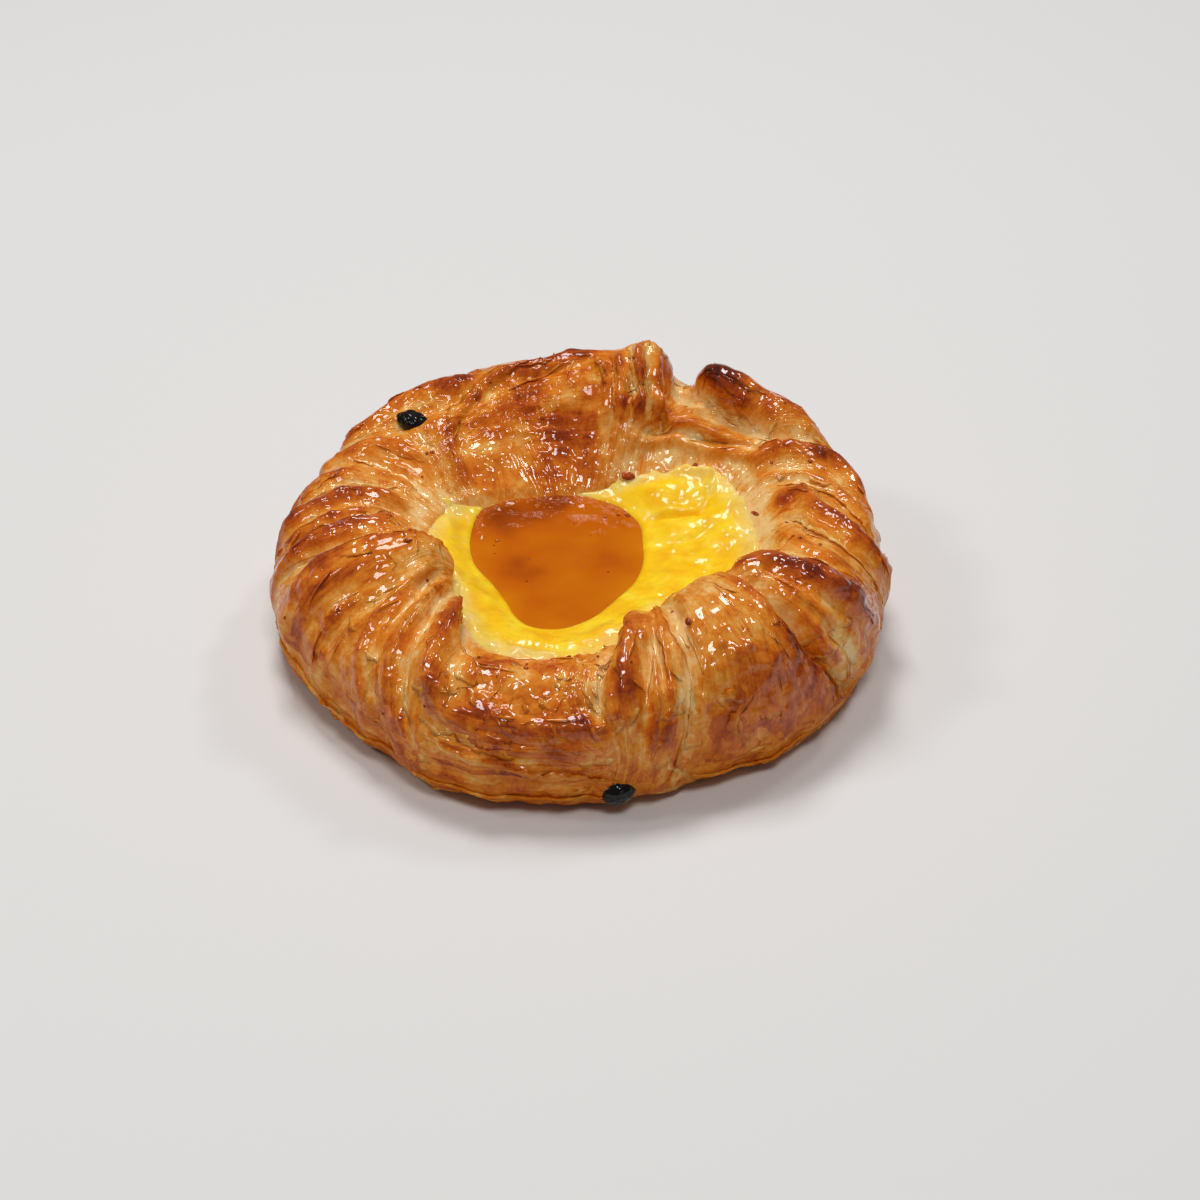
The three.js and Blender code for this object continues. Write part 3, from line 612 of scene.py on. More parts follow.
def lay_strips(name, lines, widths, rises, points, learnt, material, rng):
    """Thin torn strips of dough along lines of (angle, station): sunk on one side, free on the other."""
    count, long = lines.shape[0], lines.shape[1] - 1
    bm = bmesh.new()
    bmesh.ops.create_grid(bm, x_segments=long, y_segments=2, size=1)
    bmesh.ops.solidify(bm, geom=bm.faces[:], thickness=0.5)
    mesh, shape = copies(name, bm, count)
    under = np.abs(shape[:, 2]) > 0.1
    at = np.rint((shape[:, 0] + 1) / 2 * long).astype(int)
    u, v = shape[None, :, 0], shape[None, :, 1]
    radius = np.hypot(*dough_form(lines[..., 0], np.clip(lines[..., 1], 1, 4))[..., :2].transpose(2, 0, 1))
    arc, along = np.radians(lines[..., 0]) * radius, lines[..., 1] * STATION_LENGTH
    step = np.stack([np.gradient(arc, axis=1), np.gradient(along, axis=1)], -1)
    step /= np.linalg.norm(step, axis=-1, keepdims=True)
    wave = rng.uniform(0, 2 * math.pi, (3, count, 1))
    ripples = max(long / 10, 1)
    jag = 1 + 0.22 * np.sin(5 * ripples * u + wave[0]) + 0.16 * np.sin(11 * ripples * u + wave[1])
    outline = np.sqrt(np.clip(1 - u**4, 0.02, 1)) * jag
    across = 0.5 * widths[:, None] * (v * outline + 0.3 * np.sin(1.6 * ripples * u + wave[2]))
    angles = lines[:, at, 0] - np.degrees(across * step[:, at, 1] / radius[:, at])
    stations = np.clip(lines[:, at, 1] + across * step[:, at, 0] / STATION_LENGTH, 1.04, 3.9)
    free = smooth(-0.7, 1, v) * (1 - 0.6 * u**2)
    height = -0.3 + rises[:, None] * free + 0.1 * np.sin(4 * ripples * u + wave[0])
    height = height - np.where(under[None], 0.22, 0.0)
    normals = on_dough(grid_normals(points), angles, stations)
    placed = on_dough(points, angles, stations) + normals * height[..., None]
    placed[..., 2] = np.maximum(placed[..., 2], 0.05)
    shape_mesh(mesh, placed)
    outwards(mesh)
    for key, values in learnt.items():
        here = on_dough(values, angles, stations)
        if key == "bake":
            here = here + 0.2 * smooth(0.2, 1, v) - 0.1
        if key == "flaky":
            here = 0.3 * here
        give(mesh, key, here.reshape(-1, 3) if values.ndim == 3 else here.ravel())
    piece(name, mesh, material)


def make_flakes(points, learnt, material):
    """Short flakes beside the folds and, more loosely, all round the outer wall."""
    rng = np.random.default_rng(71)
    places = []
    for each in FOLDS:
        run = trace(each["path"])
        for _ in range(2 if abs(each["lift"]) < 1.2 else 4):
            i = rng.integers(1, len(run) - 2)
            radius = np.hypot(*dough_form(run[i, 0], run[i, 1])[:2])
            onward, turned = run[i + 1, 1] - run[i - 1, 1], np.radians(run[i + 1, 0] - run[i - 1, 0])
            heading = math.atan2(onward * STATION_LENGTH, turned * radius)
            spread = 0.5 * min(each["widths"][0], 5)
            places.append((run[i, 0] + rng.normal(0, spread), run[i, 1] + rng.normal(0, 0.03),
                           heading + rng.normal(0, 0.15), rng.uniform(4, 10), rng.uniform(1.0, 2.2)))
    for low_angle, high_angle, low_station, high_station, count in FLAKY_PLACES:
        for _ in range(count):
            places.append((rng.uniform(low_angle, high_angle), rng.uniform(low_station, high_station),
                           rng.uniform(0, math.pi), rng.uniform(2.5, 6.5), rng.uniform(1.6, 3.4)))
    for _ in range(LOOSE_FLAKES):
        low = rng.random() < 0.6
        places.append((rng.uniform(0, 360), rng.uniform(2.4, 3.6) if low else rng.uniform(1.3, 2.4),
                       rng.normal(0 if low else 1.4, 0.3), rng.uniform(2, 6), rng.uniform(0.7, 1.8)))
    angle, station, heading, length, width = np.array(places).T
    half = 0.5 * length[:, None] * np.linspace(-1, 1, 8)
    radius = np.hypot(*dough_form(angle, station)[:, :2].T)[:, None]
    lines = np.stack([angle[:, None] + np.degrees(half * np.cos(heading)[:, None] / radius),
                      station[:, None] + half * np.sin(heading)[:, None] / STATION_LENGTH], -1)
    rises = 0.45 + 0.35 * rng.random(len(places))
    lay_strips("dough_flakes", lines, width, rises, points, learnt, material, rng)


# Places that have flaked most: angles and stations from and to, how many flakes.
FLAKY_PLACES = [
    (238, 282, 1.85, 2.8, 44), (298, 326, 2.3, 2.9, 26), (196, 218, 1.4, 2.3, 16), (100, 112, 2.5, 3.1, 10),
]

# Long torn edges where one sheet of dough ends on another: path of (angle, station), width, rise.
EDGES = [
    ([(321, 1.7), (321, 2.2), (322, 2.65), (326, 2.95), (331, 3.2)], 2.4, 1.1),
    ([(194, 1.12), (193.5, 1.5), (192, 1.9), (190, 2.35), (188, 2.8)], 2.0, 0.8),
    ([(137, 1.25), (132, 1.6), (125, 1.76), (116, 1.89), (107, 1.98)], -1.8, 0.7),
    ([(276, 2.55), (274, 2.2), (277, 1.9), (281, 1.65), (286, 1.3)], 1.6, 0.7),
    ([(278, 3.05), (268, 3.0), (256, 2.93), (246, 2.86), (240, 2.8)], 2.2, 0.8),
    ([(280, 3.32), (266, 3.36), (252, 3.36), (238, 3.26)], 2.0, 0.9),
    ([(300, 1.25), (295, 1.8), (294, 2.3), (291, 2.8), (287, 3.3)], 1.8, 0.9),
    ([(287, 2.9), (290, 3.2), (298, 3.42), (310, 3.45), (322, 3.4)], -2.2, 0.9),
    ([(234, 3.2), (226, 3.3), (216, 3.3), (206, 3.2), (196, 3.05)], 2.2, 1.0),
    ([(232, 2.6), (226, 2.15), (221, 1.7), (217, 1.4)], -1.5, 0.6),
    ([(34, 1.5), (31, 1.9), (28, 2.3), (23, 2.6), (15, 2.75)], 1.8, 0.8),
    ([(20, 1.45), (16, 1.8), (11, 2.1), (4, 2.4), (358, 2.7)], 1.6, 0.7),
    ([(4, 1.5), (359, 1.8), (354, 2.1), (350, 2.5), (350, 2.9)], 1.6, 0.7),
    ([(182, 2.8), (181, 2.3), (178, 1.9), (174, 1.5)], 1.5, 0.7),
    ([(170, 2.7), (166, 2.2), (161, 1.8), (156, 1.45)], 1.6, 0.7),
    ([(151, 2.85), (146, 2.68), (139, 2.74), (132, 2.58)], -1.5, 0.45),
    ([(66, 2.3), (62, 2.0), (54, 1.7), (45, 1.62), (38, 1.7)], -1.6, 0.7),
    ([(76, 1.95), (74, 1.7), (71, 1.45)], 1.2, 0.5), ([(80, 1.9), (78.5, 1.65), (76, 1.4)], 1.2, 0.5),
    ([(345, 3.3), (352, 3.38), (358, 3.3), (6, 3.36)], 2.0, 0.7),
    ([(62, 3.05), (70, 3.22), (79, 3.12), (86, 3.3)], -1.8, 0.45),
    ([(100, 2.8), (106, 2.98), (113, 2.92)], -1.5, 0.4),
    ([(122, 3.2), (132, 3.34), (140, 3.2), (150, 3.24)], -1.9, 0.5),
    ([(98, 2.5), (86, 2.55), (74, 2.7)], 1.8, 0.8),
    ([(32, 3.1), (40, 3.26), (48, 3.16)], -1.7, 0.5), ([(170, 3.3), (182, 3.3), (194, 3.25)], 2.0, 0.8),
]


def make_edges(points, learnt, material):
    """The long torn edges."""
    rng = np.random.default_rng(73)
    lines, widths, rises = [], [], []
    for path, width, rise in EDGES:
        run = trace(path, 12)
        share = np.linspace(0, len(run) - 1, 61)
        line = np.stack([np.interp(share, np.arange(len(run)), run[:, k]) for k in (0, 1)], -1)
        lines.append(line[::-1] if width < 0 else line)
        widths.append(abs(width))
        rises.append(0.35 + rise)
    laid = [np.array(values) for values in (lines, widths, rises)]
    lay_strips("torn_edges", *laid, points, learnt, material, rng)


def make_crumbs(points, learnt, material):
    """Dark baked crumbs stuck in the glaze, and a few on the custard's edge."""
    rng = np.random.default_rng(72)
    spots = list(CRUMBS)
    for _ in range(CRUMB_COUNT):
        spots.append((rng.uniform(0, 360), rng.uniform(1.2, 2.9),
                      rng.uniform(0.25, 0.5), rng.uniform(0.25, 0.5)))
    mesh, shape = grains("crumbs", len(spots))
    normals = grid_normals(points)
    placed = []
    for n, (angle, station, long, wide) in enumerate(spots):
        at = np.array([[angle, station]])
        middle = on_dough(points, at[:, 0], at[:, 1])[0]
        up = on_dough(normals, at[:, 0], at[:, 1])[0]
        side = np.cross(up, rng.normal(size=3))
        side /= np.linalg.norm(side)
        other = np.cross(up, side)
        rough = 1 + 0.35 * lumps(shape, 0.9, 80 + n)
        body = shape * rough[:, None] * (long, wide, 0.6 * wide)
        placed.append(middle + body[:, :1] * side + body[:, 1:2] * other + (body[:, 2:] + 0.25 * wide) * up)
    placed = np.concatenate(placed)
    shape_mesh(mesh, placed)
    alike = {"bake": 0.86, "glaze": 0.7, "level": 0.0, "flaky": 0.0, "beaded": 1.0}
    for key, value in alike.items():
        give(mesh, key, np.full(len(placed), value))
    give(mesh, "grain", placed)
    piece("crumbs", mesh, material)


# ---- custard -------------------------------------------------------------------------------------

JAM_CENTRE = np.array([-4.5, -1.5])
JAM_LEVEL = 19.2
CUSTARD_MIDDLE = 20.4  # height of the custard's middle before the jam pressed its bowl into it
JAM_RADIUS = {
    0: 18.2, 22: 19.6, 40: 22.6, 56: 24, 74: 24.6, 88: 25, 105: 25.4, 120: 25.6, 130: 24.6,
    142: 22, 159: 19.2, 183: 16.6, 208: 14.9, 235: 17, 257: 22.3, 272: 22.8, 290: 20.8, 311: 18.2, 340: 17.8,
}
# Creases and lumps in the custard: path of (x, y) in mm, height, width.
CUSTARD_MARKS = [
    ([(11, 12), (18, 13), (25, 12.5)], -2.4, 1.5), ([(13, 18), (20, 21), (27, 23)], 1.2, 5.5),
    ([(20, 7), (26, 9), (31, 13)], 0.8, 4), ([(22, 27), (28, 25), (31, 20)], 1.1, 4.5),
    ([(25, 12), (27, 17), (28, 22)], -0.7, 1.4), ([(-26, 9), (-25, 4), (-22, -3)], 1.0, 4),
    ([(-20, -12), (-14, -21), (-8, -28)], 0.5, 4),
    ([(0, -30), (9, -26), (15, -19)], 0.6, 4), ([(26, -2), (30, 5), (32, 12)], 0.7, 4),
    ([(-12, -31), (-2, -33), (8, -31)], -0.5, 2), ([(17, 2), (24, 4), (29, 8)], -0.5, 2.2),
]


def jam_edge(points):
    """Distance in mm inside the jam's outline, negative outside, at points (..., 2 or 3)."""
    away = points[..., :2] - JAM_CENTRE
    reach = np.hypot(away[..., 0], away[..., 1])
    return around(JAM_RADIUS, np.degrees(np.arctan2(away[..., 1], away[..., 0]))) - reach


def make_custard(material):
    """The custard: spooned in, so lumpy and creased, smeared up the dough and dished under the jam."""
    columns, over, under = 360, 109, 12
    shares = np.concatenate([np.linspace(0, 1.12, over), np.linspace(1.12, 0, under)])
    angle, share = np.meshgrid(np.arange(columns) * 360 / columns, shares)
    points = dough_form(angle, np.minimum(share, 1))
    edge = around(CUSTARD_RADIUS, angle)
    reach = edge * share
    turned = np.radians(angle)
    points[..., 0], points[..., 1] = reach * np.cos(turned), reach * np.sin(turned)
    top = np.arange(over + under)[:, None] < over
    height = around(CUSTARD_HEIGHT, angle)
    level = CUSTARD_MIDDLE + (height - CUSTARD_MIDDLE) * np.clip(share, 0, 1) ** 2
    level += 0.6 * lumps(points, (9, 9, 50), 21) + 0.34 * lumps(points, (3.6, 3.6, 50), 22)
    level -= 0.8 * smooth(0.93, 1.06, share)
    smear = np.clip(lumps(points, (4.5, 4.5, 50), 24, 3) + 0.1, 0, 1)
    level += 1.9 * smear * smooth(0.84, 1.0, share)
    for path, lift, width in CUSTARD_MARKS:
        path = np.array(path, float)
        best = np.full(angle.shape, 1e9)
        for a, b in zip(path, path[1:]):
            for t in np.linspace(0, 1, 9):
                spot = a + (b - a) * t
                best = np.minimum(best, np.hypot(points[..., 0] - spot[0], points[..., 1] - spot[1]))
        level += lift * bump(best / width)
    inside = jam_edge(points)
    level += (JAM_LEVEL + 0.35 - level) * smooth(-7, 0.5, inside)
    level -= 3.6 * smooth(-0.8, 4, inside)
    points[..., 2] = np.where(top, level, level - 5 * np.clip(1.12 - share, 0, 1) - 0.5)
    edge_pale = smooth(0.84, 0.99, share) * (0.75 + 0.6 * lumps(points, 4, 23))
    custard = skin("custard", points, {"pale": np.clip(edge_pale, 0, 1)})
    piece("custard_filling", custard, material, "custard")


# ---- jam -----------------------------------------------------------------------------------------

def make_jam(material):
    """The pool of jam: poured, so nearly level, with a low rim where it clings to the custard."""
    columns, over, under = 240, 51, 10
    shares = np.concatenate([np.linspace(0, 1, over), np.linspace(1, 0, under)])
    shares[:over] = 1 - (1 - shares[:over]) ** 1.4
    angle, share = np.meshgrid(np.arange(columns) * 360 / columns, shares)
    reach = (around(JAM_RADIUS, angle) + 0.5) * share
    turned = np.radians(angle)
    points = np.stack([JAM_CENTRE[0] + reach * np.cos(turned), JAM_CENTRE[1] + reach * np.sin(turned),
                       np.zeros(angle.shape)], -1)
    inside = jam_edge(points)
    top = np.arange(over + under)[:, None] < over
    level = JAM_LEVEL - 0.2 + 0.2 * np.exp(-np.maximum(inside + 0.5, 0) / 0.8)
    level += 0.10 * lumps(points, (8, 8, 50), 31) + 0.05 * lumps(points, (3, 3, 50), 32)
    # The skin has wrinkled where it boiled up against the back sheet.
    boiled = smooth(48, 75, angle) * (1 - smooth(140, 170, angle))
    boiled *= smooth(0.4, 2, inside) * (1 - smooth(2.5, 6.5, inside))
    level += boiled * (0.1 + 0.75 * np.abs(lumps(points, (2.6, 1.7, 50), 33)))
    points[..., 2] = np.where(top, level, JAM_LEVEL - 0.6 - 3.4 * (1 - share**2))
    # Painted reflection: the jam is coloured darker towards the back, where the dark dough wall behind it
    # would be reflected. It is also darker where it is deep.
    painted_reflection = smooth(10, 26, 0.9 * points[..., 1] - 0.45 * points[..., 0])
    depth_and_painted_reflection = 0.8 * np.clip(inside / 9, 0, 1) + 0.9 * painted_reflection
    piece("jam_pool", skin("jam", points, {"depth_and_painted_reflection": depth_and_painted_reflection}), material, "jam")


def make_bubbles(material):
    """Small domes of froth where the jam boiled up against the dough, and a few flecks in the pool."""
    rng = np.random.default_rng(74)
    angles = np.concatenate([rng.uniform(48, 150, FROTH_COUNT), rng.uniform(0, 360, FLECK_COUNT)])
    count = len(angles)
    froth = np.arange(count) < FROTH_COUNT
    inward = np.where(froth, 0.6 + rng.exponential(1.6, count), rng.uniform(2, 16, count))
    size = np.where(froth, rng.uniform(0.2, 0.6, count), rng.uniform(0.14, 0.28, count))
    reach = around(JAM_RADIUS, angles) - np.minimum(inward, 15)
    mesh, shape = grains("jam_bubbles", count)
    turned = np.radians(angles)
    middle = np.stack([JAM_CENTRE[0] + reach * np.cos(turned), JAM_CENTRE[1] + reach * np.sin(turned),
                       np.full(count, JAM_LEVEL - 0.2)], -1)
    flat = np.stack([size * rng.uniform(0.9, 1.6, count), size, 0.55 * size], -1)
    shape_mesh(mesh, middle[:, None] + shape[None] * flat[:, None])
    # The froth is given the dark tone of the painted reflection beside it; the flecks are darker still.
    give(mesh, "depth_and_painted_reflection", np.repeat(np.where(froth, 0.75, 1.5), len(shape)))
    piece("jam_bubbles", mesh, material)


# ---- raisins -------------------------------------------------------------------------------------

# Middle in mm, half sizes, turn and tilt in degrees, seed of its wrinkles.
RAISINS = {
    "raisin_back": ((-35, 34.6, 29.8), (3.9, 2.6, 2.3), -18, 8, 41),
    "raisin_front": ((8.2, -57.0, 5.8), (3.9, 3.0, 3.3), 30, -25, 42),
}


def make_raisin(node, middle, half, turn, tilt, seed, material):
    """One dried raisin, shrunk into deep wrinkles and half sunk in the dough."""
    bm = bmesh.new()
    bmesh.ops.create_icosphere(bm, subdivisions=5, radius=1)
    for v in bm.verts:
        p = v.co.copy()
        warped = p + 0.35 * noise.noise_vector(1.1 * p + Vector((seed, 0, 0)))
        wrinkle = abs(noise.noise(1.5 * warped + Vector((0, seed, 0))))
        dent = 0.12 * noise.noise(1.1 * p + Vector((0, 0, seed)))
        v.co = p * (0.90 + 0.22 * min(wrinkle, 0.4) + dent)
        v.co.yz *= 1 - 0.3 * abs(p.x) ** 3
    bmesh.ops.scale(bm, vec=Vector(half) * MM, verts=bm.verts)
    bmesh.ops.rotate(bm, matrix=Matrix.Rotation(math.radians(tilt), 3, "Y"), verts=bm.verts)
    bmesh.ops.rotate(bm, matrix=Matrix.Rotation(math.radians(turn), 3, "Z"), verts=bm.verts)
    place = (Vector(middle) + Vector(FOLDED_ROUND)) * MM
    bmesh.ops.translate(bm, vec=place, verts=bm.verts)
    lowest = min(v.co.z for v in bm.verts)
    if lowest < 0:
        bmesh.ops.translate(bm, vec=(0, 0, -lowest), verts=bm.verts)
    mesh = bpy.data.meshes.new(node)
    bm.to_mesh(mesh)
    bm.free()
    piece(node + "_skin", mesh, material, node)


# ---- materials -----------------------------------------------------------------------------------

def colour(hex_value):
    """sRGB hex to linear, with full alpha."""
    parts = [int(hex_value[i : i + 2], 16) / 255 for i in (0, 2, 4)]
    return (*[c / 12.92 if c <= 0.04045 else ((c + 0.055) / 1.055) ** 2.4 for c in parts], 1.0)


def surface(name, fixed):
    """A new material, its node tree and its surface shader, with the values that are fixed."""
    material = bpy.data.materials.new(name)
    material.use_nodes = True
    tree = material.node_tree
    shader = tree.nodes["Principled BSDF"]
    for key, value in fixed.items():
        shader.inputs[key].default_value = value
    return material, tree, shader


def add(tree, kind, settings=None, inputs=None):
    """Adds a node with its settings, and sets or links its inputs."""
    node = tree.nodes.new(kind)
    for key, value in (settings or {}).items():
        setattr(node, key, value)
    for key, value in (inputs or {}).items():
        if isinstance(value, bpy.types.NodeSocket):
            tree.links.new(value, node.inputs[key])
        else:
            node.inputs[key].default_value = value
    return node


def set_ramp(node, stops):
    """Fills a colour ramp with (position, colour) stops."""
    ramp = node.color_ramp
    while len(ramp.elements) > 1:
        ramp.elements.remove(ramp.elements[-1])
    ramp.elements[0].position, ramp.elements[0].color = stops[0]
    for position, value in stops[1:]:
        ramp.elements.new(position).color = value


def glazed_dough():
    """Baked laminated dough under a brushed-on apricot glaze: matt layers below a wet clear coat."""
    material, tree, shader = surface("glazed laminated dough", {
        "Roughness": 0.62, "IOR": 1.36, "Specular IOR Level": 0.15,
        "Coat Roughness": 0.025, "Coat IOR": 1.5,
        "Subsurface Weight": 0.12, "Subsurface Radius": (1.0, 0.45, 0.18), "Subsurface Scale": 0.0022,
    })
    bake, glaze, grain, flaky, level, beaded = [
        add(tree, "ShaderNodeAttribute", {"attribute_name": name})
        for name in ("bake", "glaze", "grain", "flaky", "level", "beaded")
    ]
    place = add(tree, "ShaderNodeTexCoord").outputs["Object"]

    # Round the ring or along the folds, with a torn border between.
    torn = add(tree, "ShaderNodeTexNoise", inputs={
        "Vector": place, "Scale": 500.0, "Detail": 3.0, "Roughness": 0.6})
    border = add(tree, "ShaderNodeMath", {"operation": "MULTIPLY_ADD"}, {
        0: torn.outputs["Fac"], 1: 1.2, 2: level.outputs["Fac"]})
    round_ring = add(tree, "ShaderNodeMath", {"operation": "GREATER_THAN"}, {0: border.outputs[0], 1: 1.1})

    # Fine strands of the layers, about 0.6 mm wide and 8 to 10 mm long.
    strand_size = add(tree, "ShaderNodeMix", {"data_type": "VECTOR"}, {
        0: round_ring.outputs[0], 4: (1.8, 1.8, 0.12), 5: (0.10, 0.10, 1.8)})
    along = add(tree, "ShaderNodeVectorMath", {"operation": "MULTIPLY"}, {
        0: grain.outputs["Vector"], 1: strand_size.outputs[1]})
    strands = add(tree, "ShaderNodeTexNoise", inputs={
        "Vector": along.outputs[0], "Scale": 1.0, "Detail": 4.0, "Roughness": 0.6, "Distortion": 0.45})

    # Mottling from the oven: blotches 3 mm and specks 0.8 mm across.
    blotch = add(tree, "ShaderNodeTexNoise", inputs={
        "Vector": place, "Scale": 330.0, "Detail": 5.0, "Roughness": 0.62, "Distortion": 0.4})
    speck = add(tree, "ShaderNodeTexNoise", inputs={
        "Vector": place, "Scale": 1300.0, "Detail": 3.0, "Roughness": 0.6})

    # Papery plates about 1.7 mm wide and 5 mm long, each browned on its own, where the layers flake.
    plate_size = add(tree, "ShaderNodeMix", {"data_type": "VECTOR"}, {
        0: round_ring.outputs[0], 4: (0.6, 0.6, 0.2), 5: (0.2, 0.2, 0.6)})
    plate_grid = add(tree, "ShaderNodeVectorMath", {"operation": "MULTIPLY"}, {
        0: grain.outputs["Vector"], 1: plate_size.outputs[1]})
    plate_place = add(tree, "ShaderNodeVectorMath", {"operation": "MULTIPLY_ADD"}, {
        0: torn.outputs["Color"], 1: (1.1, 1.1, 1.1), 2: plate_grid.outputs[0]})
    plates = add(tree, "ShaderNodeTexVoronoi", inputs={"Vector": plate_place.outputs[0], "Scale": 1.0})
    plate = add(tree, "ShaderNodeMath", {"operation": "MULTIPLY"}, {
        0: plates.outputs["Color"], 1: flaky.outputs["Fac"]})

    # How brown the crust is at each point, from its bake and all four patterns.
    shade = bake.outputs["Fac"]
    patterns = [
        (strands.outputs["Fac"], 0.32), (blotch.outputs["Fac"], 0.66),
        (speck.outputs["Fac"], 0.28), (plate.outputs[0], 0.34),
    ]
    for pattern, share in patterns:
        part = add(tree, "ShaderNodeMath", {"operation": "MULTIPLY_ADD"}, {0: pattern, 1: share, 2: shade})
        shade = part.outputs[0]
    browned = add(tree, "ShaderNodeMath", {"operation": "SUBTRACT", "use_clamp": True}, {0: shade, 1: 0.84})
    crust = add(tree, "ShaderNodeValToRGB", inputs={"Fac": browned.outputs[0]})
    set_ramp(crust, [
        (0.00, colour("efc682")), (0.14, colour("e7a34b")), (0.30, colour("db801b")),
        (0.46, colour("c76006")), (0.62, colour("a54102")), (0.78, colour("782602")),
        (1.00, colour("421102")),
    ])
    tree.links.new(crust.outputs["Color"], shader.inputs["Base Color"])

    # The strands, blotches and plates also stand up, by less than half a millimetre.
    relief = {}
    raised = [
        (0.6, 0.0004, strands.outputs["Fac"]), (0.5, 0.0004, blotch.outputs["Fac"]),
        (0.5, 0.0003, plate.outputs[0]),
    ]
    for strength, distance, height in raised:
        bump = add(tree, "ShaderNodeBump", inputs={
            "Strength": strength, "Distance": distance, "Height": height, **relief})
        relief = {"Normal": bump.outputs[0]}
    tree.links.new(relief["Normal"], shader.inputs["Normal"])

    # The brushed glaze has run into beads 2.4 mm across and trickles 1.6 mm wide and 6 mm long, so it
    # glints in small points. Over patches 13 mm across it lies smoother, where it has pooled.
    bead = add(tree, "ShaderNodeTexNoise", inputs={
        "Vector": place, "Scale": 420.0, "Detail": 1.0, "Roughness": 0.35})
    pooled = add(tree, "ShaderNodeTexNoise", inputs={
        "Vector": place, "Scale": 75.0, "Detail": 1.0})
    beady = add(tree, "ShaderNodeMapRange", inputs={
        "Value": pooled.outputs["Fac"], 1: 0.4, 2: 0.58, 3: 0.3, 4: 0.9})
    unevenness = add(tree, "ShaderNodeMath", {"operation": "MULTIPLY"}, {
        0: beady.outputs[0], 1: beaded.outputs["Fac"]})
    beads = add(tree, "ShaderNodeBump", inputs={
        "Strength": unevenness.outputs[0], "Distance": 0.0011, "Height": bead.outputs["Fac"]})
    along_glaze = add(tree, "ShaderNodeMapping", inputs={
        "Vector": grain.outputs["Vector"], "Scale": (0.62, 0.62, 0.16)})
    run = add(tree, "ShaderNodeTexNoise", inputs={
        "Vector": along_glaze.outputs[0], "Scale": 1.0, "Detail": 0.0})
    trickle = add(tree, "ShaderNodeBump", inputs={
        "Strength": 0.5, "Distance": 0.0009, "Height": run.outputs["Fac"], "Normal": beads.outputs[0]})
    tree.links.new(trickle.outputs[0], shader.inputs["Coat Normal"])
    tree.links.new(glaze.outputs["Fac"], shader.inputs["Coat Weight"])
    return material


def baked_custard():
    """Baked egg custard: smooth, moist and faintly see-through, clouded in patches 5 mm across."""
    material, tree, shader = surface("baked egg custard", {
        "Roughness": 0.45, "Specular IOR Level": 0.15,
        "Coat Weight": 0.8, "Coat Roughness": 0.03, "Coat IOR": 1.4,
        "Subsurface Weight": 0.35, "Subsurface Radius": (1.0, 0.7, 0.15), "Subsurface Scale": 0.003,
    })
    place = add(tree, "ShaderNodeTexCoord").outputs["Object"]
    pale = add(tree, "ShaderNodeAttribute", {"attribute_name": "pale"})
    cloud = add(tree, "ShaderNodeTexNoise", inputs={
        "Vector": place, "Scale": 210.0, "Detail": 4.0, "Roughness": 0.55})
    tone = add(tree, "ShaderNodeValToRGB", inputs={"Fac": cloud.outputs["Fac"]})
    set_ramp(tone, [(0.3, colour("f4b400")), (0.5, colour("fcc703")), (0.72, colour("ffdd2e"))])
    edge = add(tree, "ShaderNodeMix", {"data_type": "RGBA"}, {
        0: pale.outputs["Fac"], 6: tone.outputs["Color"], 7: colour("eccb74")})
    tree.links.new(edge.outputs[2], shader.inputs["Base Color"])

    # The set skin has dimples 4 mm across, and its moist film glints in spots 2.5 mm across.
    dimple = add(tree, "ShaderNodeTexNoise", inputs={
        "Vector": place, "Scale": 260.0, "Detail": 1.5, "Roughness": 0.5})
    bumped = add(tree, "ShaderNodeBump", inputs={
        "Strength": 0.35, "Distance": 0.0006, "Height": dimple.outputs["Fac"]})
    tree.links.new(bumped.outputs[0], shader.inputs["Normal"])
    glint = add(tree, "ShaderNodeTexNoise", inputs={
        "Vector": place, "Scale": 400.0, "Detail": 1.0, "Roughness": 0.4})
    rippled = add(tree, "ShaderNodeBump", inputs={
        "Strength": 0.6, "Distance": 0.0011, "Height": glint.outputs["Fac"]})
    tree.links.new(rippled.outputs[0], shader.inputs["Coat Normal"])
    return material


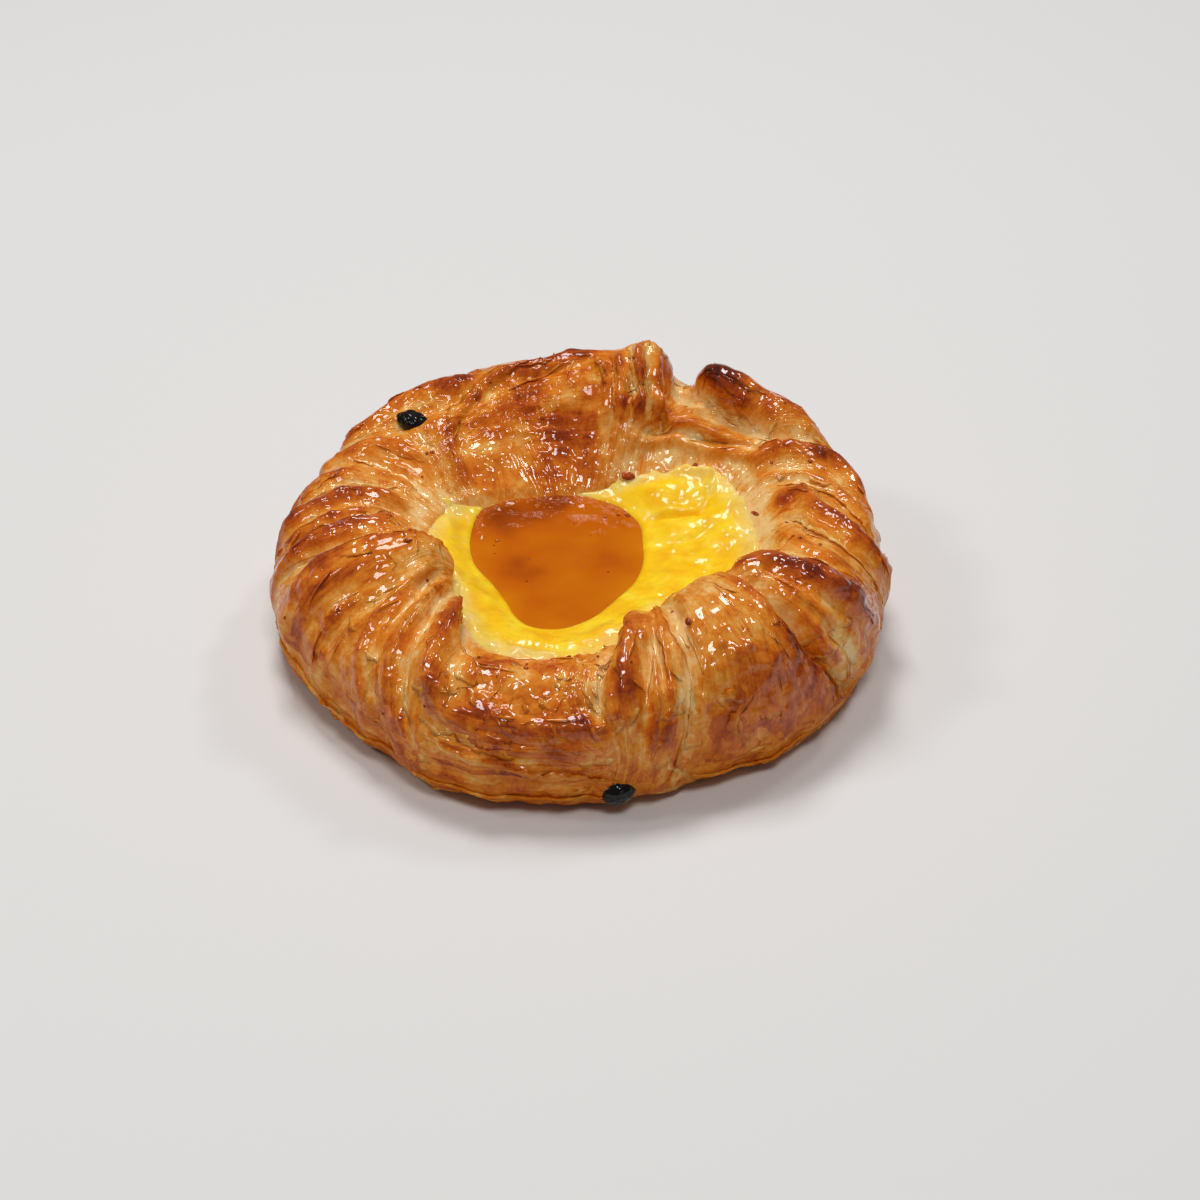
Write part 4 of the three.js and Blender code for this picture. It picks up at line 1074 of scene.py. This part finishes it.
def apricot_jam():
    """Sieved apricot jam: deep amber, wet and still, darker where it is deep, and darker towards the back
    where the dough wall's dark reflection is painted in.
    """
    material, tree, shader = surface("apricot jam", {
        "Roughness": 0.25, "Specular IOR Level": 0.0,
        "Coat Weight": 1.0, "Coat Roughness": 0.02, "Coat IOR": 1.33,
    })
    place = add(tree, "ShaderNodeTexCoord").outputs["Object"]
    depth_and_painted_reflection = add(tree, "ShaderNodeAttribute", {"attribute_name": "depth_and_painted_reflection"})

    # Clouds of pulp 14 mm across.
    cloud = add(tree, "ShaderNodeTexNoise", inputs={
        "Vector": place, "Scale": 70.0, "Detail": 2.0, "Roughness": 0.5})
    # Darker where the jam is deep, and where the back wall's reflection is painted in.
    darkness = add(tree, "ShaderNodeMath", {"operation": "MULTIPLY_ADD"}, {
        0: depth_and_painted_reflection.outputs["Fac"], 1: 0.35, 2: cloud.outputs["Fac"]})
    tone = add(tree, "ShaderNodeValToRGB", inputs={"Fac": darkness.outputs[0]})
    set_ramp(tone, [(0.35, colour("cc7503")), (0.75, colour("bd5b01")), (1.0, colour("8d3803"))])
    tree.links.new(tone.outputs["Color"], shader.inputs["Base Color"])

    # Ripples 3.3 mm across where the jam is deep or where the painted reflection darkens it at the back;
    # none in the shallow jam elsewhere at its edge.
    wave = add(tree, "ShaderNodeTexNoise", inputs={"Vector": place, "Scale": 300.0, "Detail": 1.0})
    strength = add(tree, "ShaderNodeMath", {"operation": "MULTIPLY_ADD", "use_clamp": True}, {
        0: depth_and_painted_reflection.outputs["Fac"], 1: 0.9, 2: -0.55})
    rippled = add(tree, "ShaderNodeBump", inputs={
        "Strength": strength.outputs[0], "Distance": 0.0012, "Height": wave.outputs["Fac"]})
    tree.links.new(rippled.outputs[0], shader.inputs["Coat Normal"])
    return material


def sticky_raisin():
    """Baked raisin: nearly black skin, finely wrinkled 1 mm apart, with a sticky shine."""
    material, tree, shader = surface("baked raisin skin", {
        "Roughness": 0.5, "Specular IOR Level": 0.05,
        "Coat Weight": 0.8, "Coat Roughness": 0.05, "Coat IOR": 1.4,
    })
    place = add(tree, "ShaderNodeTexCoord").outputs["Object"]
    wrinkle = add(tree, "ShaderNodeTexNoise", inputs={
        "Vector": place, "Scale": 900.0, "Detail": 3.0, "Roughness": 0.6})
    tone = add(tree, "ShaderNodeValToRGB", inputs={"Fac": wrinkle.outputs["Fac"]})
    set_ramp(tone, [(0.3, colour("080506")), (0.6, colour("120b0c")), (0.8, colour("23120e"))])
    tree.links.new(tone.outputs["Color"], shader.inputs["Base Color"])
    bumped = add(tree, "ShaderNodeBump", inputs={
        "Strength": 0.15, "Distance": 0.0001, "Height": wrinkle.outputs["Fac"]})
    tree.links.new(bumped.outputs[0], shader.inputs["Normal"])
    return material


def pale_table():
    """Matt pale tabletop."""
    return surface("matt pale tabletop", {"Base Color": colour("dedcda"), "Roughness": 0.9})[0]


# ---- the pastry ----------------------------------------------------------------------------------

dough_points, dough_learnt = folded_dough()
crust = glazed_dough()
make_dough(dough_points, dough_learnt, crust)
make_flakes(dough_points, dough_learnt, crust)
make_edges(dough_points, dough_learnt, crust)
make_crumbs(dough_points, dough_learnt, crust)
make_custard(baked_custard())
jam_material = apricot_jam()
make_jam(jam_material)
make_bubbles(jam_material)
raisin_skin = sticky_raisin()
for node_name, facts in RAISINS.items():
    make_raisin(node_name, *facts, raisin_skin)

# ---- floor, lights and camera --------------------------------------------------------------------

bm = bmesh.new()
bmesh.ops.create_grid(bm, x_segments=1, y_segments=1, size=4)
floor_mesh = bpy.data.meshes.new("floor")
bm.to_mesh(floor_mesh)
bm.free()
floor_mesh.materials.append(pale_table())
floor = bpy.data.objects.new("floor", floor_mesh)
bpy.context.scene.collection.objects.link(floor)


def soft_box(name, place, size, power, target=(0, 0, 0.02)):
    """A square area light that faces the pastry."""
    light = bpy.data.lights.new(name, "AREA")
    light.shape = "SQUARE"
    light.size = size
    light.energy = power
    obj = bpy.data.objects.new(name, light)
    obj.location = place
    obj.rotation_euler = (Vector(target) - Vector(place)).to_track_quat("-Z", "Y").to_euler()
    bpy.context.scene.collection.objects.link(obj)


soft_box("key", (-0.14, 0.42, 1.1), 0.36, 7.0)
soft_box("front_top", (0.08, -0.52, 1.0), 0.26, 3.8)
soft_box("left", (-0.75, -0.1, 0.8), 0.2, 1.6)
soft_box("back_right", (0.5, 0.5, 0.8), 0.16, 1.5)

world = bpy.data.worlds.new("soft_studio")
world.use_nodes = True
world.node_tree.nodes["Background"].inputs["Color"].default_value = colour("f4f3f2")
world.node_tree.nodes["Background"].inputs["Strength"].default_value = 0.12
bpy.context.scene.world = world
bpy.context.scene.view_settings.view_transform = "Standard"

ELEVATION = math.radians(36.5)
DISTANCE = 0.575
# The camera looks at a point inside the filling, a little in front of its middle.
aim = Vector((4.6 + FOLDED_ROUND[0], -7.5 + FOLDED_ROUND[1], 14)) * MM
camera_data = bpy.data.cameras.new("camera")
camera_data.lens = 85
camera_data.sensor_width = 36
camera_data.clip_start = 0.01
camera = bpy.data.objects.new("camera", camera_data)
camera.location = aim + DISTANCE * Vector((0, -math.cos(ELEVATION), math.sin(ELEVATION)))
camera.rotation_euler = (aim - camera.location).to_track_quat("-Z", "Y").to_euler()
bpy.context.scene.collection.objects.link(camera)
bpy.context.scene.camera = camera
